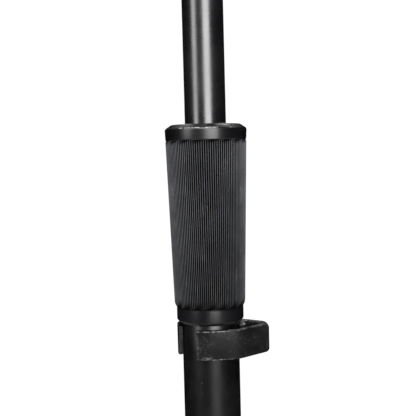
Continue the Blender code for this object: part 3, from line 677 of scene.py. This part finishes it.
def build_sleeve():
    deselect()
    ring = RIBS * RIB_POINTS
    bpy.ops.mesh.primitive_circle_add(vertices=ring, radius=13.3 * MM, fill_type="NOTHING",
                                      location=(0, 0, 0))
    sleeve = bpy.context.object
    sleeve.name = sleeve.data.name = "ribbed_sleeve"
    bpy.ops.object.mode_set(mode="EDIT")
    bpy.ops.mesh.select_all(action="SELECT")
    bpy.ops.transform.translate(value=(0, 0, (GRIP_FOOT + SLEEVE_HEIGHTS[0]) * MM))
    for low, high in zip(SLEEVE_HEIGHTS, SLEEVE_HEIGHTS[1:]):
        bpy.ops.mesh.extrude_edges_move(TRANSFORM_OT_translate={"value": (0, 0, (high - low) * MM)})
    bpy.ops.object.mode_set(mode="OBJECT")
    # The attribute holds how deep each point lies, with the painted shade added.
    depth = sleeve.data.attributes.new("valley_painted_shade", "FLOAT", "POINT")
    for index, point in enumerate(sleeve.data.vertices):
        height = SLEEVE_HEIGHTS[index // ring]
        share_up = (height - TAPER_FOOT) / (TAPER_TOP - TAPER_FOOT)
        taper = TAPER_FOOT_R + (TAPER_TOP_R - TAPER_FOOT_R) * share_up
        radius, share = SLEEVE_ENDS.get(height, (taper, 1))
        sunk = RIB_SHAPE[index % RIB_POINTS] * share
        flat = Vector((point.co.x, point.co.y)).normalized() * (radius - sunk * RIB_DEPTH) * MM
        point.co.x, point.co.y = flat
        # Painted shade at the ends, ragged from rib to rib, and a fade that darkens the ribs towards the
        # bottom.
        ragged = 0.6 + 0.4 * math.sin(index // RIB_POINTS * 5.3)
        end_shade_and_fade = END_SHADE.get(height, 0.0) * ragged + 0.10 * (1.0 - share_up)
        depth.data[index].value = min(RIB_SHAPE[index % RIB_POINTS] + end_shade_and_fade, 1.0)
    bpy.ops.object.mode_set(mode="EDIT")
    select_where(sleeve, lambda point: point.co.z > (GRIP_FOOT + 70.2) * MM)
    bpy.ops.mesh.extrude_edges_move()
    bpy.ops.transform.resize(value=(SLEEVE_BORE_SHARE, SLEEVE_BORE_SHARE, 1))
    bpy.ops.mesh.extrude_edges_move(TRANSFORM_OT_translate={"value": (0, 0, -SLEEVE_LENGTH * MM)})
    bpy.ops.mesh.select_all(action="SELECT")
    bpy.ops.mesh.region_to_loop()
    bpy.ops.mesh.bridge_edge_loops()
    return close_up(sleeve)


sleeve = build_sleeve()
fit(sleeve, "grip", ["grip_sleeve"], RIB_RUBBER, 50)
print("sleeve faces:", len(sleeve.data.polygons))

# %% [markdown]
# ## The cable clip
# One moulded strip goes round the back of the tube, ends in a round nose on the right, and
# loops out and back across the front. The space inside the loop holds a cable. Its plan is drawn
# point by point and raised.

# %% The clip's plan
CLIP_IN = 11.5
CLIP_OUT = 13.1
STRIP = CLIP_OUT - CLIP_IN
CLIP_LOW = -12.35
CLIP_HIGH = -1.15
CLIP_MIDDLE = -6.7
CLIP_HANG = 2.5  # degrees that the front hangs down
FRONT_END = -114.5  # angles about the mast, in degrees
JAW_END = 200.0
LOOP_LANDING = 25.0
BEND_ROUND = 8.0


def on_ring(radius, degrees):
    angle = math.radians(degrees)
    return Vector((radius * math.cos(angle), radius * math.sin(angle)))


def fillet(before, corner, after, radius, steps):
    """The arc that rounds a left-hand corner."""
    into = (corner - before).normalized()
    out = (after - corner).normalized()
    half = into.angle(out) / 2
    start = corner - into * (radius * math.tan(half))
    centre = start + Vector((-into.y, into.x)) * radius
    begin = math.degrees(math.atan2(start.y - centre.y, start.x - centre.x))
    return arc(centre, radius, begin, begin + math.degrees(2 * half), steps)


def inside_corner(before, corner, after, wall):
    into = (corner - before).normalized()
    out = (after - corner).normalized()
    first = Vector((-into.y, into.x))
    second = Vector((-out.y, out.x))
    return corner + (first + second) * (wall / (1.0 + first.dot(second)))


def clip_plan():
    front = Vector((0.0, -CLIP_OUT))
    bend = Vector((10.6, -11.9))
    tip = Vector((24.8, -1.2))
    landing = on_ring(CLIP_OUT, LOOP_LANDING)
    outer = arc((0, 0), CLIP_OUT, FRONT_END, -90, 16)
    outer += fillet(front, bend, tip, BEND_ROUND, 12)
    outer += fillet(bend, tip, landing, 2.3, 16)
    outer += arc((0, 0), CLIP_OUT, LOOP_LANDING, JAW_END, 72)
    inner_bend = inside_corner(front, bend, tip, STRIP)
    inner_tip = inside_corner(bend, tip, landing, STRIP)
    back = (landing - tip).normalized()
    face = landing + Vector((-back.y, back.x)) * STRIP
    along = face.dot(back)
    root = face - back * (along + math.sqrt(along * along - face.length_squared + CLIP_OUT ** 2))
    nose = on_ring(12.55, -12)
    inner = arc((0, 0), CLIP_IN, FRONT_END, -90, 16)
    inner += fillet(on_ring(CLIP_IN, -90), inner_bend, inner_tip, BEND_ROUND - STRIP, 12)
    inner += fillet(inner_bend, inner_tip, root, 1.0, 10)
    inner += arc((0, 0), CLIP_OUT, math.degrees(math.atan2(root.y, root.x)), -4, 6)
    inner += arc(nose, 1.35, 0, -198, 16)
    inner += arc((0, 0), CLIP_IN, -10, JAW_END, 84)
    return outer + inner[::-1]


# %% [markdown]
# ## Rounding and settling the clip
# Seen from in front the loop's end is rounded at the top and, less, at the bottom. Keeping only
# what lies inside a rounded block gives that outline. A bevel then rubs all the edges soft, and
# the clip hangs a little low in front because it is clamped by its own spring.

# %% The clip
clip = slab("cable_clip_fine", clip_plan(), CLIP_LOW, CLIP_HIGH)
front_view = [(-20.0, CLIP_LOW), (22.95, CLIP_LOW), (22.95, CLIP_HIGH), (-20.0, CLIP_HIGH)]
front_view = rounded(front_view, [0, 1.6, 2.6, 0], 10)
block = slab("clip_block", front_view, -30.0, 30.0)
turn(block, Matrix.Rotation(math.pi / 2, 4, "X"))
cut_with(clip, block, "INTERSECT")
soften(clip, 0.4, 4, 40)
hang = Matrix.Rotation(math.radians(CLIP_HANG), 4, "X")
turn(clip, place((0, 0, GRIP_FOOT)) @ place((0, 0, CLIP_MIDDLE)) @ hang @ place((0, 0, -CLIP_MIDDLE)))
fit(clip, "clip", ["cable_clip"], CLIP_PLASTIC, 40)

# %% [markdown]
# # The foot of the stand
# A cast hub is clamped on the lower tube. Each leg turns on a pin in a slot of the hub, and a
# knob at the back holds the hub by pressing its stud on the tube.

# %% Turning pieces to lie along other axes
ALONG_X = Matrix.Rotation(math.pi / 2, 4, "Y")
ALONG_Y = Matrix.Rotation(-math.pi / 2, 4, "X")
TOWARDS_READER = Matrix.Rotation(math.pi / 2, 4, "X")
SIDE_VIEW = Matrix(((0, 0, 1, 0), (-1, 0, 0, 0), (0, 1, 0, 0), (0, 0, 0, 1)))
PIVOT_R = 24.0
PIVOT_Z = 75.0
PIN_R = 3.0
PIN_HALF = 17.0
HOLE_R = 3.3  # the holes for the pins and for the clamp knob's stud
LEG_TURNS = (-90, 30, 150)


def about_mast(degrees):
    return Matrix.Rotation(math.radians(degrees), 4, "Z")


def drill(piece, radius, start, end, matrix):
    """Bore a round hole; the drill is drawn along Z and then turned."""
    length = end - start
    deselect()
    bpy.ops.mesh.primitive_cylinder_add(vertices=48, radius=radius * MM, depth=length * MM,
                                        location=(0, 0, 0))
    bit = bpy.context.object
    turn(bit, matrix @ place((0, 0, (start + end) / 2)))
    return cut_with(piece, bit)


# %% [markdown]
# ## The hub
# The casting is turned, the three slots are cut from below and the boss for the clamp knob is
# joined on. A last bevel leaves the rounded edges that a casting has.

# %% The hub
def build_hub():
    points = [(11.4, 52.0), (30.4, 52.0), (32.0, 53.6), (32.0, 86.0), (29.5, 91.0), (24.0, 95.0),
              (17.0, 98.0), (11.4, 98.0)]
    outline = rounded(points, [0.4, 1.0, 1.0, 3.0, 4.0, 3.0, 1.2, 0.4], 5)
    hub = lathe("base_hub_fine", outline + outline[:1], 120)
    for degrees in LEG_TURNS:
        gap = slab("slot", [(14.5, -5.4), (42.0, -5.4), (42.0, 5.4), (14.5, 5.4)], 47.0, 84.4)
        cut_with(hub, turn(gap, about_mast(degrees)))
    boss_outline = rounded([(0.0, 24.0), (7.5, 24.0), (7.5, 37.0), (0.0, 37.0)], [0, 0, 0.8, 0], 4)
    boss = turn(lathe("boss", boss_outline, 64), place((0, 0, PIVOT_Z)) @ ALONG_Y)
    cut_with(hub, boss, "UNION")
    drill(hub, HOLE_R, 6.0, 42.0, place((0, 0, PIVOT_Z)) @ ALONG_Y)
    return soften(hub, 0.6, 3, 45)


fit(build_hub(), "base", ["base_hub"], CAST_PAINT)

# %% [markdown]
# ## Legs, pins and feet
# A leg is a flat bar with a round heel, rounded along its edges. It is modelled once pointing
# along X, then copied for each of the three directions. The foot is a rubber boot with a raised
# lip at its mouth and a flat sole.

# %% One leg, pin and foot
LEG_LENGTH = 275.0
LEG_HALF_WIDTH = 5.0
LEG_HEEL_R = 9.0
LEG_TIP_HALF = 7.0
LEG_SLOPE = math.radians(13.4)
LEG_TILT = Matrix.Rotation(LEG_SLOPE, 4, "Y") @ TOWARDS_READER


def on_leg(along, across):
    cosine, sine = math.cos(LEG_SLOPE), math.sin(LEG_SLOPE)
    return (along * cosine + across * sine, across * cosine - along * sine)


def model_leg():
    side = arc((0, 0), LEG_HEEL_R, 90, 270, 32)
    side += [(LEG_LENGTH, -LEG_TIP_HALF), (LEG_LENGTH, LEG_TIP_HALF)]
    leg = slab("leg_model", side, -LEG_HALF_WIDTH, LEG_HALF_WIDTH)
    drill(leg, HOLE_R, -12.0, 12.0, Matrix.Identity(4))
    soften(leg, 1.3, 4, 50)
    return turn(leg, LEG_TILT)


def model_pin():
    corners = [(0.0, -PIN_HALF), (PIN_R, -PIN_HALF), (PIN_R, PIN_HALF), (0.0, PIN_HALF)]
    return turn(lathe("pin_model", rounded(corners, [0, 0.7, 0.7, 0], 4), 48), ALONG_Y)


def model_foot():
    heel, crown, nose = on_leg(251.0, 9.4), on_leg(278.0, 9.4), on_leg(280.5, 6.4)
    under = on_leg(251.0, -9.4)
    sole = [(under[0] + 2.0, -PIVOT_Z), (nose[0] - 1.5, -PIVOT_Z), (nose[0], 1.5 - PIVOT_Z)]
    side = rounded([under] + sole + [nose, crown, heel], [0, 2.5, 1.2, 2.0, 2.5, 3.0, 0], 5)
    foot = slab("foot_model", side, -8.0, 8.0)
    lip_side = [on_leg(249.8, -9.9), on_leg(254.0, -9.9), on_leg(254.0, 10.0), on_leg(249.8, 10.0)]
    lip = slab("foot_lip", lip_side, -8.6, 8.6)
    cut_with(foot, lip, "UNION")
    pocket_side = [(227.0, -8.1), (275.3, -7.3), (275.3, 7.3), (227.0, 8.1)]
    pocket = turn(slab("pocket", pocket_side, -5.3, 5.3), Matrix.Rotation(-LEG_SLOPE, 4, "Z"))
    cut_with(foot, pocket)
    soften(foot, 1.0, 4, 50)
    return turn(foot, TOWARDS_READER)


# %% [markdown]
# ## Three of each
# Every copy has its own mesh, which is turned about the mast and moved out to its pivot.

# %% Copies round the mast
def own_copy(model, name, matrix):
    """A copy with its own mesh, moved by the matrix."""
    only(model)
    bpy.ops.object.duplicate(linked=False)
    copy = bpy.context.object
    copy.name = copy.data.name = name
    return turn(copy, matrix)


leg_model, pin_model, foot_model = model_leg(), model_pin(), model_foot()
for number, degrees in enumerate(LEG_TURNS, 1):
    spot = about_mast(degrees) @ place((PIVOT_R, 0, PIVOT_Z))
    carrier = ("front_leg", "right_leg", "left_leg")[number - 1]
    leg = own_copy(leg_model, f"leg_fine_{number}", spot)
    fit(leg, carrier, [f"leg_{number}"], LEG_PAINT)
    foot = own_copy(foot_model, f"foot_fine_{number}", spot)
    fit(foot, carrier, [f"foot_{number}"], FOOT_RUBBER)
    pin = own_copy(pin_model, f"leg_pin_fine_{number}", spot)
    fit(pin, "base", [f"leg_pin_{number}"], ZINC)
for model in (leg_model, pin_model, foot_model):
    bpy.data.objects.remove(model, do_unlink=True)

# %% [markdown]
# ## The plug under the mast
# A rubber cap with two grooves covers the end of the lower tube.

# %% The plug
PLUG_R = 12.6
GROOVE_R = 12.1
plug_points = [(0.0, 0.0), (11.9, 0.0), (PLUG_R, 0.7)]
for low, high in ((4.0, 5.5), (7.6, 9.1)):
    plug_points += [(PLUG_R, low), (GROOVE_R, low + 0.3), (GROOVE_R, high - 0.3), (PLUG_R, high)]
plug_points += [(PLUG_R, 12.0), (11.4, 12.0), (11.4, 3.7), (0.0, 3.7)]
plug_radii = [0, 0.4, 0.3] + [0.12] * 8 + [0.4, 0.2, 0, 0]
plug = lathe("foot_plug_fine", rounded(plug_points, plug_radii, 3), 96)
fit(plug, "base", ["foot_plug"], FOOT_RUBBER)

# %% [markdown]
# ## Hand knobs
# Both knobs have soft lobes to grip. The outline swells and shrinks with a cosine. It is
# extruded ring by ring, each ring scaled, so the rim is round and the face has a shallow dish.

# %% A lobed knob
def lobed_knob(name, small, large, lobes, low, high, dish):
    middle, swing = (small + large) / 2, (large - small) / 2
    outline = []
    for step in range(30 * lobes):
        angle = math.tau * step / (30 * lobes)
        radius = (middle + swing * math.cos(lobes * angle)) * 0.88
        outline.append((radius * math.cos(angle), radius * math.sin(angle), low))
    knob = draw_line(name, outline + outline[:1])
    bpy.ops.mesh.remove_doubles(threshold=0.002 * MM)
    rings = ((0.88, low), (0.95, low + 0.35), (0.99, low + 1.1), (1.0, low + 2.0), (1.0, high - 2.6),
             (0.985, high - 1.3), (0.945, high - 0.45), (0.89, high - 0.05), (0.84, high),
             (0.68, high), (0.64, high - 0.3 * dish), (0.61, high - 0.85 * dish), (0.56, high - dish))
    for (scale, level), (next_scale, next_level) in zip(rings, rings[1:]):
        bpy.ops.mesh.extrude_edges_move(
            TRANSFORM_OT_translate={"value": (0, 0, (next_level - level) * MM)})
        ratio = next_scale / scale
        bpy.ops.transform.resize(value=(ratio, ratio, 1), center_override=(0, 0, 0))
    bpy.ops.mesh.edge_face_add()
    select_where(knob, lambda point: point.co.z < (low + 0.01) * MM)
    bpy.ops.mesh.edge_face_add()
    return close_up(knob)


def stem(name, radius, low, high, edge):
    """A short solid round, with its lower edge rounded."""
    corners = [(0.0, low), (radius, low), (radius, high), (0.0, high)]
    return lathe(name, rounded(corners, [0, edge, 0, 0], 4), 64)


hub_knob = lobed_knob("hub_knob_fine", 13.0, 16.0, 5, 42.0, 54.0, 1.4)
cut_with(hub_knob, stem("stem", 8.0, 37.3, 43.0, 0.6), "UNION")
cut_with(hub_knob, stem("stud", 3.0, 11.5, 39.0, 0.5), "UNION")
turn(hub_knob, place((0, 0, PIVOT_Z)) @ ALONG_Y)
fit(hub_knob, "clamp_knob", ["hub_knob"], KNOB_PLASTIC)

# %% [markdown]
# # The head and the desk
# The head block sits on the upper tube. Its flat tongue stands between the two ears of the
# desk's bracket, and a bolt with a hand knob pinches them together. Everything that tilts is
# modelled upright about the bolt and then leaned back.

# %% The lean of the desk
TILT_Z = 1018.0
SCREW_Z = 970.0  # the set screw
BOLT_HOLE_R = 4.3
LEAN = place((0, 0, TILT_Z)) @ Matrix.Rotation(math.radians(-20.0), 4, "X")

# %% [markdown]
# ## The head block
# A turned socket and a flat tongue with a round top are joined, bored for the bolt and the set
# screw, and softened.

# %% The head block
def build_head():
    points = [(8.25, 957.0), (12.0, 957.0), (12.0, 990.0), (10.0, 992.0), (0.0, 992.0), (0.0, 985.3),
              (8.25, 985.3)]
    head = lathe("head_block_fine", rounded(points, [0.3, 0.8, 1.0, 1.0, 0, 0, 0], 4), 96)
    tongue_side = [(29.0, -10.0), (29.0, 10.0)] + arc((0, 0), 11.0, 90, 270, 40)
    tongue = slab("tongue", tongue_side, -5.0, 5.0)
    cut_with(head, turn(tongue, place((0, 0, TILT_Z)) @ ALONG_X), "UNION")
    drill(head, BOLT_HOLE_R, -10.0, 10.0, place((0, 0, TILT_Z)) @ ALONG_X)
    drill(head, 2.7, 5.95, 15.0, place((0, 0, SCREW_Z)) @ ALONG_Y)
    return soften(head, 0.5, 3, 45)


fit(build_head(), "mast", ["head_block"], CAST_PAINT)

# %% [markdown]
# ## Screws, washers and rivets
# Small round pieces are turned along Z and laid along their own axis. The set screw has a
# hexagon socket; the bolt has a cup head.

# %% Small turned pieces
def socket_screw():
    points = [(0.0, 8.25), (2.4, 8.25), (2.4, 12.3), (4.2, 12.3), (4.2, 15.5), (0.0, 15.5)]
    screw = lathe("head_screw_fine", rounded(points, [0, 0.3, 0, 0.3, 0.6, 0], 4), 64)
    hexagon = slab("hexagon", arc((0, 0), 2.3, 0, 300, 5), 13.3, 17.0)
    cut_with(screw, hexagon)
    return turn(screw, place((0, 0, SCREW_Z)) @ ALONG_Y)


fit(socket_screw(), "mast", ["head_screw"], DARK_BOLT)
for side, sign in (("left", -1), ("right", 1)):
    near, far = sign * 5.3, sign * 6.8
    ring_points = [(BOLT_HOLE_R, near), (10.0, near), (10.0, far), (BOLT_HOLE_R, far)]
    ring_outline = rounded(ring_points, [0.2] * 4, 3)
    washer = lathe(f"friction_washer_{side}_fine", ring_outline + ring_outline[:1], 80)
    turn(washer, place((0, 0, TILT_Z)) @ ALONG_X)
    fit(washer, "mast", [f"friction_washer_{side}"], NYLON)

bolt_points = [(0.0, -14.4), (5.0, -14.4), (7.0, -12.4), (7.0, -10.4), (4.0, -10.4), (4.0, 25.7),
               (0.0, 25.7)]
bolt = lathe("pivot_bolt_fine", rounded(bolt_points, [0, 3.0, 0.8, 0.2, 0, 0.5, 0], 6), 80)
fit(turn(bolt, LEAN @ ALONG_X), "desk", ["pivot_bolt"], DARK_BOLT)
plate_points = [(BOLT_HOLE_R, 10.4), (9.0, 10.4), (9.0, 11.6), (BOLT_HOLE_R, 11.6)]
plate_outline = rounded(plate_points, [0.2] * 4, 3)
plate = lathe("knob_washer_fine", plate_outline + plate_outline[:1], 80)
fit(turn(plate, LEAN @ ALONG_X), "desk", ["knob_washer"], ZINC)

# %% [markdown]
# ## The tilt knob
# The larger knob has six lobes and a hub that bears on the washer.

# %% The tilt knob
tilt_knob = lobed_knob("tilt_knob_fine", 15.5, 19.0, 6, 16.0, 30.0, 1.6)
cut_with(tilt_knob, stem("neck", 9.0, 11.9, 17.0, 0.6), "UNION")
drill(tilt_knob, BOLT_HOLE_R, 5.0, 26.2, Matrix.Identity(4))
turn(tilt_knob, LEAN @ ALONG_X)
fit(tilt_knob, "tilt_hand_knob", ["tilt_knob"], KNOB_PLASTIC)

# %% [markdown]
# ## The bracket
# A plate with rounded corners carries two ears, each round about the bolt and widening down to
# the plate. The bevel also fills the inner corners, as a casting would.

# %% The bracket
EAR_R = 12.0


def build_bracket():
    plate_side = [(-35.0, -30.0), (35.0, -30.0), (35.0, 30.0), (-35.0, 30.0)]
    bracket = slab("bracket_fine", rounded(plate_side, [5.0] * 4, 8), 31.7, 34.7)
    turn(bracket, TOWARDS_READER)
    corner = Vector((33.2, 28.0))
    spread = math.degrees(math.acos(EAR_R / corner.length))
    rise = math.degrees(math.atan2(corner.y, corner.x))
    ear_side = arc((0, 0), EAR_R, rise + spread, 360 - rise - spread, 36)
    ear_side += [(corner.x, -corner.y), (corner.x, corner.y)]
    for inner in (7.1, -10.1):
        ear = slab("ear", ear_side, inner, inner + 3.0)
        cut_with(bracket, turn(ear, SIDE_VIEW), "UNION")
    drill(bracket, BOLT_HOLE_R, -20.0, 20.0, ALONG_X)
    soften(bracket, 0.6, 3, 45)
    return turn(bracket, LEAN)


fit(build_bracket(), "desk", ["bracket"], CAST_PAINT)

# %% [markdown]
# ## The desk panel
# The panel is one pressed sheet. A slab with rounded corners gets a wide bevel on its front
# edge, its back face is taken away, and Solidify gives the skin its 1.2 mm, which leaves a
# shallow tray with its rim turned back.

# %% The panel
PANEL_HALF_WIDTH = 250.0
PANEL_FOOT, PANEL_HEAD = -130.0, 200.0
SHEET = 1.2


def build_panel():
    board = [(-PANEL_HALF_WIDTH, PANEL_FOOT), (PANEL_HALF_WIDTH, PANEL_FOOT),
             (PANEL_HALF_WIDTH, PANEL_HEAD), (-PANEL_HALF_WIDTH, PANEL_HEAD)]
    panel = slab("desk_panel_fine", rounded(board, [18.0] * 4, 14), 27.0, 36.2)
    only(panel)
    bpy.ops.object.mode_set(mode="EDIT")
    select_where(panel, lambda point: point.co.z > 36.1 * MM)
    bpy.ops.mesh.bevel(offset=2.6 * MM, segments=6)
    bpy.ops.mesh.select_mode(type="FACE")
    bpy.ops.mesh.select_all(action="DESELECT")
    bpy.ops.object.mode_set(mode="OBJECT")
    for face in panel.data.polygons:
        face.select = face.normal.z < -0.9
    bpy.ops.object.mode_set(mode="EDIT")
    bpy.ops.mesh.delete(type="FACE")
    bpy.ops.mesh.select_mode(type="VERT")
    bpy.ops.object.mode_set(mode="OBJECT")
    bpy.ops.object.modifier_add(type="SOLIDIFY")
    sheet = panel.modifiers[-1]
    sheet.thickness = SHEET * MM
    sheet.offset = -1.0
    sheet.use_even_offset = True
    bpy.ops.object.modifier_apply(modifier=sheet.name)
    soften(panel, 0.3, 3, 60)
    return turn(panel, LEAN @ TOWARDS_READER)


fit(build_panel(), "desk", ["desk_panel"], DESK_COAT, 25)

# %% [markdown]
# ## The shelf
# The shelf is a folded strip: a flange on the panel, a deck for the books and a lip in front.
# Its section is drawn with true bend radii, and the four free corners are bevelled round.

# %% The shelf
SHELF_HALF_WIDTH = 245.0


def build_shelf():
    section = [(36.5, -128.0), (93.9, -128.0), (93.9, -112.0), (92.7, -112.0), (92.7, -126.8),
               (37.7, -126.8), (37.7, -108.0), (36.5, -108.0)]
    section = rounded(section, [2.2, 2.2, 0, 0, 1.0, 1.0, 0, 0], 6)
    shelf = slab("desk_shelf_fine", section, -SHELF_HALF_WIDTH, SHELF_HALF_WIDTH)
    end = (SHELF_HALF_WIDTH - 0.1) * MM
    only(shelf)
    bpy.ops.object.mode_set(mode="EDIT")
    for lowest, reach in ((-112.1, 90.0), (-108.1, 30.0)):
        select_where(shelf, lambda point: (abs(point.co.z) > end and point.co.y > lowest * MM
                                           and point.co.x > reach * MM))
        bpy.ops.mesh.bevel(offset=5.0 * MM, segments=8)
    bpy.ops.object.mode_set(mode="OBJECT")
    soften(shelf, 0.3, 3, 60)
    return turn(shelf, LEAN @ SIDE_VIEW)


fit(build_shelf(), "desk", ["desk_shelf"], DESK_COAT, 25)

# %% [markdown]
# ## Rivets
# A rivet has a low dome on both sides of the sheets. It is modelled for each of the two sheet
# thicknesses and copied to its places.

# %% The rivets
def model_rivet(front, back):
    points = [(0.0, back - 1.4), (2.6, back - 1.2), (4.0, back - 0.3), (4.0, back), (2.0, back),
              (2.0, front), (4.0, front), (4.0, front + 0.3), (2.6, front + 1.2), (0.0, front + 1.4)]
    return lathe("rivet_model", rounded(points, [0, 1.5, 0.5, 0.1, 0, 0, 0.1, 0.5, 1.5, 0], 4), 48)


DESK_RIVETS = ((-27.0, -22.0), (27.0, -22.0), (-27.0, 22.0), (27.0, 22.0))
SHELF_RIVETS = tuple((x, -117.0) for x in (-200.0, -70.0, 70.0, 200.0))
RIVET_KINDS = (("desk", DESK_RIVETS, 36.5, 31.4), ("shelf", SHELF_RIVETS, 38.0, 34.7))
for kind, spots, front, back in RIVET_KINDS:
    rivet_model = model_rivet(front, back)
    for number, (x, z) in enumerate(spots, 1):
        place_of_rivet = LEAN @ place((x, 0, z)) @ TOWARDS_READER
        rivet = own_copy(rivet_model, f"{kind}_rivet_fine_{number}", place_of_rivet)
        fit(rivet, "desk", [f"{kind}_rivet_{number}"], DARK_BOLT)
    bpy.data.objects.remove(rivet_model, do_unlink=True)

# %% [markdown]
# # Finish of the hidden pieces
# The threaded insert, the thrust ring, the collet, the bush and the wiper lie inside the
# clutch. They keep their solids and only change their finish.

# %% Hidden pieces
def refinish(names, material):
    for name in names:
        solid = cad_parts[name]
        for holder in solid.material_slots:
            holder.link = "OBJECT"
            holder.material = material


refinish(["collet", "guide_bush"], NYLON)
refinish(["thread_insert", "thrust_ring"], ZINC)
refinish(["wiper_ring"], FELT)

# %% [markdown]
# # Floor, light and camera
# A pale round floor carries the stand. The light is two tall soft boxes: a wide one a little to
# the right of the front and a fainter one well to the left, which together draw the two pale
# stripes down the black tubes. A small bright box overhead draws faint lines on the edges of
# the collar, which painted highlights make bright, and a faint one high behind lights the back of the desk
# a little.

# %% The floor
FLOOR_RADIUS = 1.15  # metres, as are the light and the camera below
FLOOR_DROP = 0.0005
deselect()
bpy.ops.mesh.primitive_circle_add(vertices=96, radius=FLOOR_RADIUS, fill_type="NGON",
                                  location=(0, 0, -FLOOR_DROP))
floor = bpy.context.object
floor.name = floor.data.name = "studio_floor"
paper = bpy.data.materials.new("pale_paper")
paper.use_nodes = True
paper_shader = paper.node_tree.nodes["Principled BSDF"]
paper_shader.inputs["Roughness"].default_value = 0.8
fibre = add(paper.node_tree, "ShaderNodeTexNoise", {}, {"Scale": 9.0, "Detail": 6.0})
paper_tone = blend_colour(paper.node_tree, fibre.outputs["Fac"], (0.60, 0.60, 0.59), (0.66, 0.66, 0.65))
paper.node_tree.links.new(paper_tone, paper_shader.inputs["Base Color"])
floor.data.materials.append(paper)

# %% [markdown]
# ## A world that is bright only from above
# Vertical tubes reflect what stands level with them, so a dark horizon keeps their edges black.
# A brighter zenith still lights everything that faces up. The camera itself sees plain white.

# %% The world
world = bpy.data.worlds.new("studio")
bpy.context.scene.world = world
world.use_nodes = True
sky = world.node_tree
sky.nodes.clear()
way = add(sky, "ShaderNodeTexCoord").outputs["Generated"]
height = add(sky, "ShaderNodeSeparateXYZ", {}, {"Vector": way}).outputs["Z"]
overhead = ramp(sky, height, 0.35, 0.85)
fill = add(sky, "ShaderNodeMapRange", {}, {"Value": overhead, "To Min": 0.006, "To Max": 0.4})
seen = add(sky, "ShaderNodeBackground", {}, {"Color": (1, 1, 1, 1), "Strength": 1.05})
felt = add(sky, "ShaderNodeBackground", {}, {"Color": (1, 1, 1, 1), "Strength": fill.outputs["Result"]})
ray = add(sky, "ShaderNodeLightPath")
choice = add(sky, "ShaderNodeMixShader", {}, {
    0: ray.outputs["Is Camera Ray"], 1: felt.outputs[0], 2: seen.outputs[0],
})
add(sky, "ShaderNodeOutputWorld", {}, {"Surface": choice.outputs[0]})

# %% [markdown]
# ## The soft boxes
# Each box is an area light turned to face the mast. A tall box gives a long even stripe on a
# round tube, which a small lamp would not. None is seen by the camera.

# %% The soft boxes
def soft_box(name, azimuth, distance, height, width, tall, power, aim=0.70):
    """A light facing the mast; azimuth 0 is straight in front, to the right is plus."""
    angle = math.radians(azimuth)
    deselect()
    spot = Vector((math.sin(angle) * distance, -math.cos(angle) * distance, height))
    bpy.ops.object.light_add(type="AREA", location=spot)
    lamp = bpy.context.object
    lamp.name = name
    lamp.data.shape = "RECTANGLE"
    lamp.data.size = width
    lamp.data.size_y = tall
    lamp.data.energy = power
    lamp.rotation_euler = (Vector((0, 0, aim)) - spot).to_track_quat("-Z", "Y").to_euler()
    lamp.visible_camera = False


soft_box("key_box", 17, 1.9, 1.1, 1.15, 1.9, 46)
soft_box("side_box", -52, 1.9, 1.25, 0.75, 1.6, 17)
soft_box("overhead_box", -6, 0.85, 1.95, 0.5, 0.5, 14)
soft_box("back_box", 180, 1.2, 1.9, 0.9, 0.6, 6, 1.1)

# %% [markdown]
# ## The camera
# A close view of the clutch, from a little above its middle and with a longish lens. The angles
# are how far the camera looks down and to the side, and how far it is tipped, in radians.

# %% The camera
CAMERA_LENS = 68.67
CAMERA_SPOT = Vector((0.00234, -0.3076, 0.66637))
CAMERA_DOWN = 0.0727
CAMERA_SIDE = -0.0071
CAMERA_ROLL = -0.0261
deselect()
bpy.ops.object.camera_add(location=CAMERA_SPOT)
camera = bpy.context.object
camera.name = "clutch_camera"
camera.data.lens = CAMERA_LENS
camera.data.sensor_width = 36.0
camera.data.clip_start = 0.01
ahead = Vector((math.sin(CAMERA_SIDE) * math.cos(CAMERA_DOWN),
                math.cos(CAMERA_SIDE) * math.cos(CAMERA_DOWN), -math.sin(CAMERA_DOWN)))
right = ahead.cross(Vector((0, 0, 1))).normalized()
up = right.cross(ahead)
across = right * math.cos(CAMERA_ROLL) + up * math.sin(CAMERA_ROLL)
above = up * math.cos(CAMERA_ROLL) - right * math.sin(CAMERA_ROLL)
facing = Matrix((across, above, -ahead)).transposed()
camera.rotation_euler = facing.to_euler()
bpy.context.scene.camera = camera
bpy.context.scene.view_settings.view_transform = "Standard"

# %% [markdown]
# ## The pieces made
# The names of the finished pieces are printed. The finished pieces have to stay in the space
# of the solid model.

# %% The names of the finished pieces
print("pieces made:", made)
